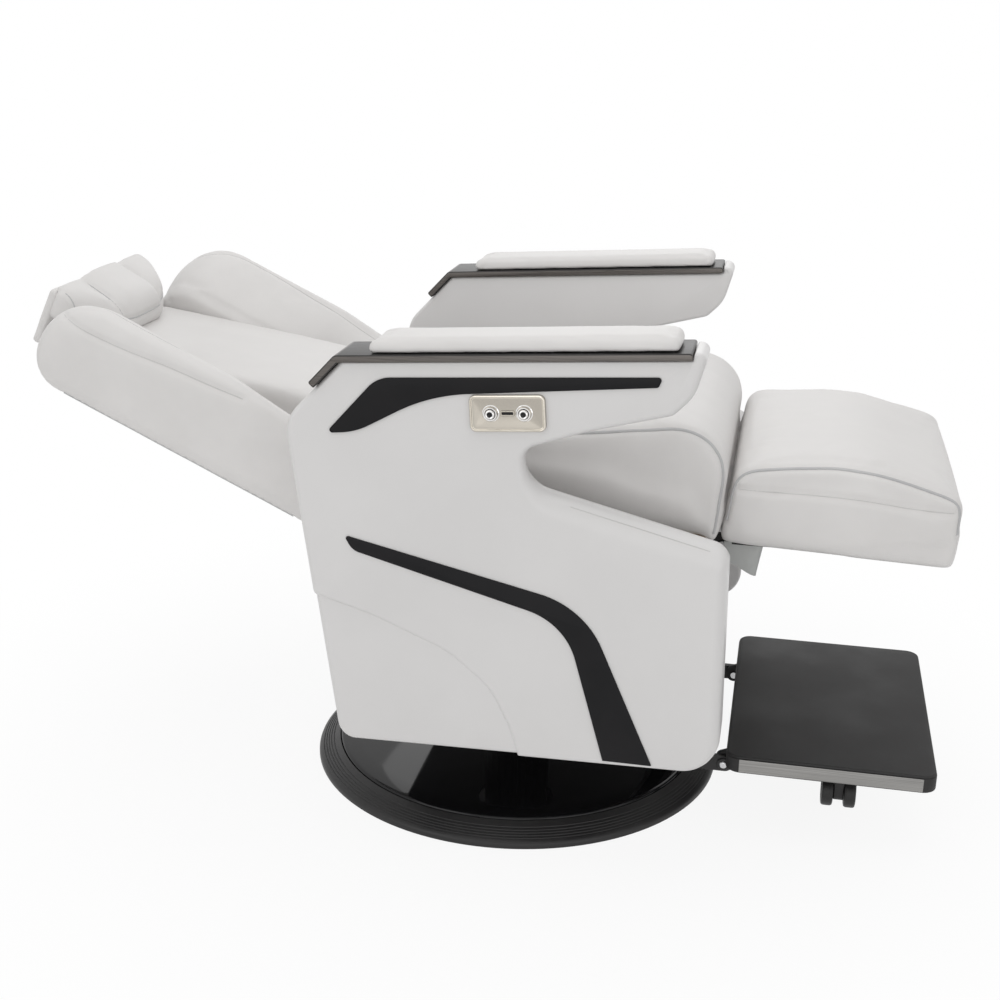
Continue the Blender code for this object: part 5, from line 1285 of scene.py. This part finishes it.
def makePillow():
    s = pillow
    puff = loftRings("pillow", [pillowRing(-s["half"] * math.cos(math.pi * k / 60)) for k in range(61)])

    def pillowHeld(spot):
        v, _, y = backPlace(spot)
        return v < s["heldBehind"] or abs(abs(y) - s["seamY"]) < s["heldSeam"]

    def acrossPath(points, y):
        # a seam's (v, u) points at one distance across, with the pillow's tilt
        return smoothPath([backPoint(v + s["tilt"] * y, u, y) for v, u in points])

    puffUp(puff, s["voxel"], s["swell"], pillowHeld)
    for name, side in sides:
        path = acrossPath(s["seam"], side * s["seamY"])
        makePiping(f"pillow_seam_{name}", path, puff, "headrest", 0.0009, 0.0, 0.009, 0.0022)
        path = acrossPath(s["end"], side * s["endAt"])
        makePiping(f"pillow_end_{name}", path, puff, "headrest", 0.0011, 0.1, 0.008, 0.0014)
    path = []
    for k in range(49):
        y = s["pipeHalf"] * (k / 24 - 1)
        path.append(backPoint(s["pipeAt"] + s["tilt"] * y, pillowFoot(y), y))
    makePiping("pillow_piping", path, puff, "headrest", 0.0012, 0.1, 0.008, 0.0016)
    settle(puff, "headrest", "white_leather", ["headrest_pillow"])
    flap = cushionPiece("pillow_flap", s["flap"], backPoint, s["flapHalf"], s["flapRounds"], 6, 3)
    puffUp(flap, s["flapVoxel"], s["flapSwell"], lambda spot: backPlace(spot)[0] > s["flapHeld"])
    settle(flap, "headrest", "white_leather", ["headrest_flap"])


# cloth under the leg rest: a skirt with two short returns towards the seat, in shallow folds
apron = {
    "half": 0.200, "front": (0.3825, 0.4640), "hem": (0.3745, 0.4120), "rear": (0.3270, 0.4640),
    "rearHem": (0.3345, 0.4350), "corner": 0.012, "thick": 0.0014, "rows": 12, "columns": 150,
    # folds: their depth, how often they come and where they start, and how often they change
    "wave": 0.0020, "folds": 46.0, "foldStart": 0.6, "foldChange": 17.0,
}


def makeApron():
    s = apron

    def skirtLine(front, rear):
        # plan of the skirt at one height: return, rounded corner, front, corner, return
        points = [Vector((rear, -s["half"]))]
        for side in (-1, 1):
            centre = Vector((front - s["corner"], side * (s["half"] - s["corner"])))
            for k in range(9):
                turn = math.pi / 2 * k / 8
                angle = turn - math.pi / 2 if side < 0 else turn
                points.append(centre + s["corner"] * Vector((math.cos(angle), math.sin(angle))))
        return points + [Vector((rear, s["half"]))]

    def alongLine(points, share):
        lengths = [(b - a).length for a, b in zip(points, points[1:])]
        left = share * sum(lengths)
        for (a, b), length in zip(zip(points, points[1:]), lengths):
            if left <= length + 1e-9:
                return a + (b - a) * min(1.0, left / length)
            left -= length
        return points[-1]

    topLine = skirtLine(s["front"][0], s["rear"][0])
    hemLine = skirtLine(s["hem"][0], s["rearHem"][0])
    deselect()
    bpy.ops.mesh.primitive_grid_add(x_subdivisions=s["columns"], y_subdivisions=s["rows"], size=2)
    cloth = bpy.context.object
    cloth.name = "apron"
    for vertex in cloth.data.vertices:
        share, down = (vertex.co.x + 1) / 2, (1 - vertex.co.y) / 2
        top, hem = alongLine(topLine, share), alongLine(hemLine, share)
        spot = top + (hem - top) * down
        level = (spot.x - s["rearHem"][0]) / (s["hem"][0] - s["rearHem"][0])
        foot = s["rearHem"][1] + (s["hem"][1] - s["rearHem"][1]) * clamp(level)
        folded = math.sin(share * s["folds"] + s["foldStart"])
        fold = s["wave"] * down * folded * (0.6 + 0.4 * math.cos(share * s["foldChange"]))
        z = s["front"][1] + (foot - s["front"][1]) * down
        vertex.co = (spot.x + fold * (abs(spot.y) < s["half"] - s["corner"]), spot.y, z)
    useModifier(cloth, "SOLIDIFY", thickness=s["thick"], offset=0.0)
    pick(cloth)
    bpy.ops.object.shade_smooth_by_angle(angle=math.radians(50))
    paint(cloth, looks["grey_cloth"])
    settle(cloth, "leg_rest", "white_leather", ["leg_apron"])


# floor, light and background
studio = {
    "floor": 8.0, "floorColour": 0.86, "nearWhite": 0.45, "allWhite": 1.25, "ambient": 0.56,
    "lamps": [
        ("overhead", (0.0, -0.3, 3.0), 3.0, 24.0), ("left_front", (-1.9, -2.7, 1.8), 2.2, 12.0),
        ("right_front", (2.2, -2.6, 1.0), 2.0, 7.0), ("low_front", (0.3, -3.4, 0.7), 1.8, 7.0),
        ("behind", (0.0, 2.8, 2.4), 2.6, 12.0),
    ],
}


def seenRays(tree):
    # 1 for what the camera sees, straight, in gloss or through glass
    rays = addNode(tree, "ShaderNodeLightPath")
    found = rays.outputs["Is Camera Ray"]
    for label in ("Is Glossy Ray", "Is Transmission Ray"):
        larger = addNode(tree, "ShaderNodeMath", operation="MAXIMUM")
        tree.links.new(found, larger.inputs[0])
        tree.links.new(rays.outputs[label], larger.inputs[1])
        found = larger.outputs[0]
    return found


def makeStudio():
    s = studio
    deselect()
    bpy.ops.mesh.primitive_circle_add(
        vertices=96, radius=s["floor"], fill_type="NGON", location=(0, 0, -0.0004),
    )
    floor = bpy.context.object
    floor.name = "studio_floor"
    bpy.ops.object.transform_apply(location=True)
    material = bpy.data.materials.new("studioFloor")
    material.use_nodes = True
    tree = material.node_tree
    link = tree.links.new
    shader = tree.nodes["Principled BSDF"]
    shader.inputs["Base Color"].default_value = (s["floorColour"],) * 3 + (1,)
    shader.inputs["Roughness"].default_value = 0.8
    place = addNode(tree, "ShaderNodeTexCoord")
    away = addNode(tree, "ShaderNodeVectorMath", operation="LENGTH")
    link(place.outputs["Object"], away.inputs[0])
    fade = rampTones(tree, s["nearWhite"], s["allWhite"])
    fade.inputs["To Min"].default_value = 0.90
    link(away.outputs["Value"], fade.inputs["Value"])
    share = addNode(tree, "ShaderNodeMath", operation="MULTIPLY")
    link(seenRays(tree), share.inputs[0])
    link(fade.outputs["Result"], share.inputs[1])
    white = addNode(tree, "ShaderNodeEmission", Strength=1.0)
    mixed = addNode(tree, "ShaderNodeMixShader")
    link(share.outputs[0], mixed.inputs["Fac"])
    link(shader.outputs[0], mixed.inputs[1])
    link(white.outputs[0], mixed.inputs[2])
    link(mixed.outputs[0], tree.nodes["Material Output"].inputs["Surface"])
    paint(floor, material)
    world = bpy.data.worlds.new("studioLight")
    scene.world = world
    world.use_nodes = True
    tree = world.node_tree
    link = tree.links.new
    soft = tree.nodes["Background"]
    soft.inputs["Color"].default_value = (1, 1, 1, 1)
    soft.inputs["Strength"].default_value = s["ambient"]
    plain = addNode(tree, "ShaderNodeBackground", Strength=1.0)
    plain.inputs["Color"].default_value = (1, 1, 1, 1)
    mixed = addNode(tree, "ShaderNodeMixShader")
    link(seenRays(tree), mixed.inputs["Fac"])
    link(soft.outputs[0], mixed.inputs[1])
    link(plain.outputs[0], mixed.inputs[2])
    link(mixed.outputs[0], tree.nodes["World Output"].inputs["Surface"])
    for name, spot, size, power in s["lamps"]:
        bpy.ops.object.light_add(type="AREA", location=spot)
        lamp = bpy.context.object
        lamp.name = name
        lamp.data.shape = "DISK"
        lamp.data.size = size
        lamp.data.energy = power
        towards = Vector((0, 0, 0.5)) - Vector(spot)
        lamp.rotation_euler = towards.to_track_quat("-Z", "Y").to_euler()
    scene.view_settings.view_transform = "Standard"


makeCamera()
makeStudio()
print("camera and studio set")
makeFloorPlate()
makeShells()
makeInlays()
makeArmRests()
makeControls()
makeBodyCovers()
print("body and arms made")
makeFootRest()
makeCasters()
print("footrest made")
makeSeatCushion()
makeLegCushion()
makeBackPad()
makeWings()
makeBackPanel()
makePillow()
makeApron()
print("cushions made")
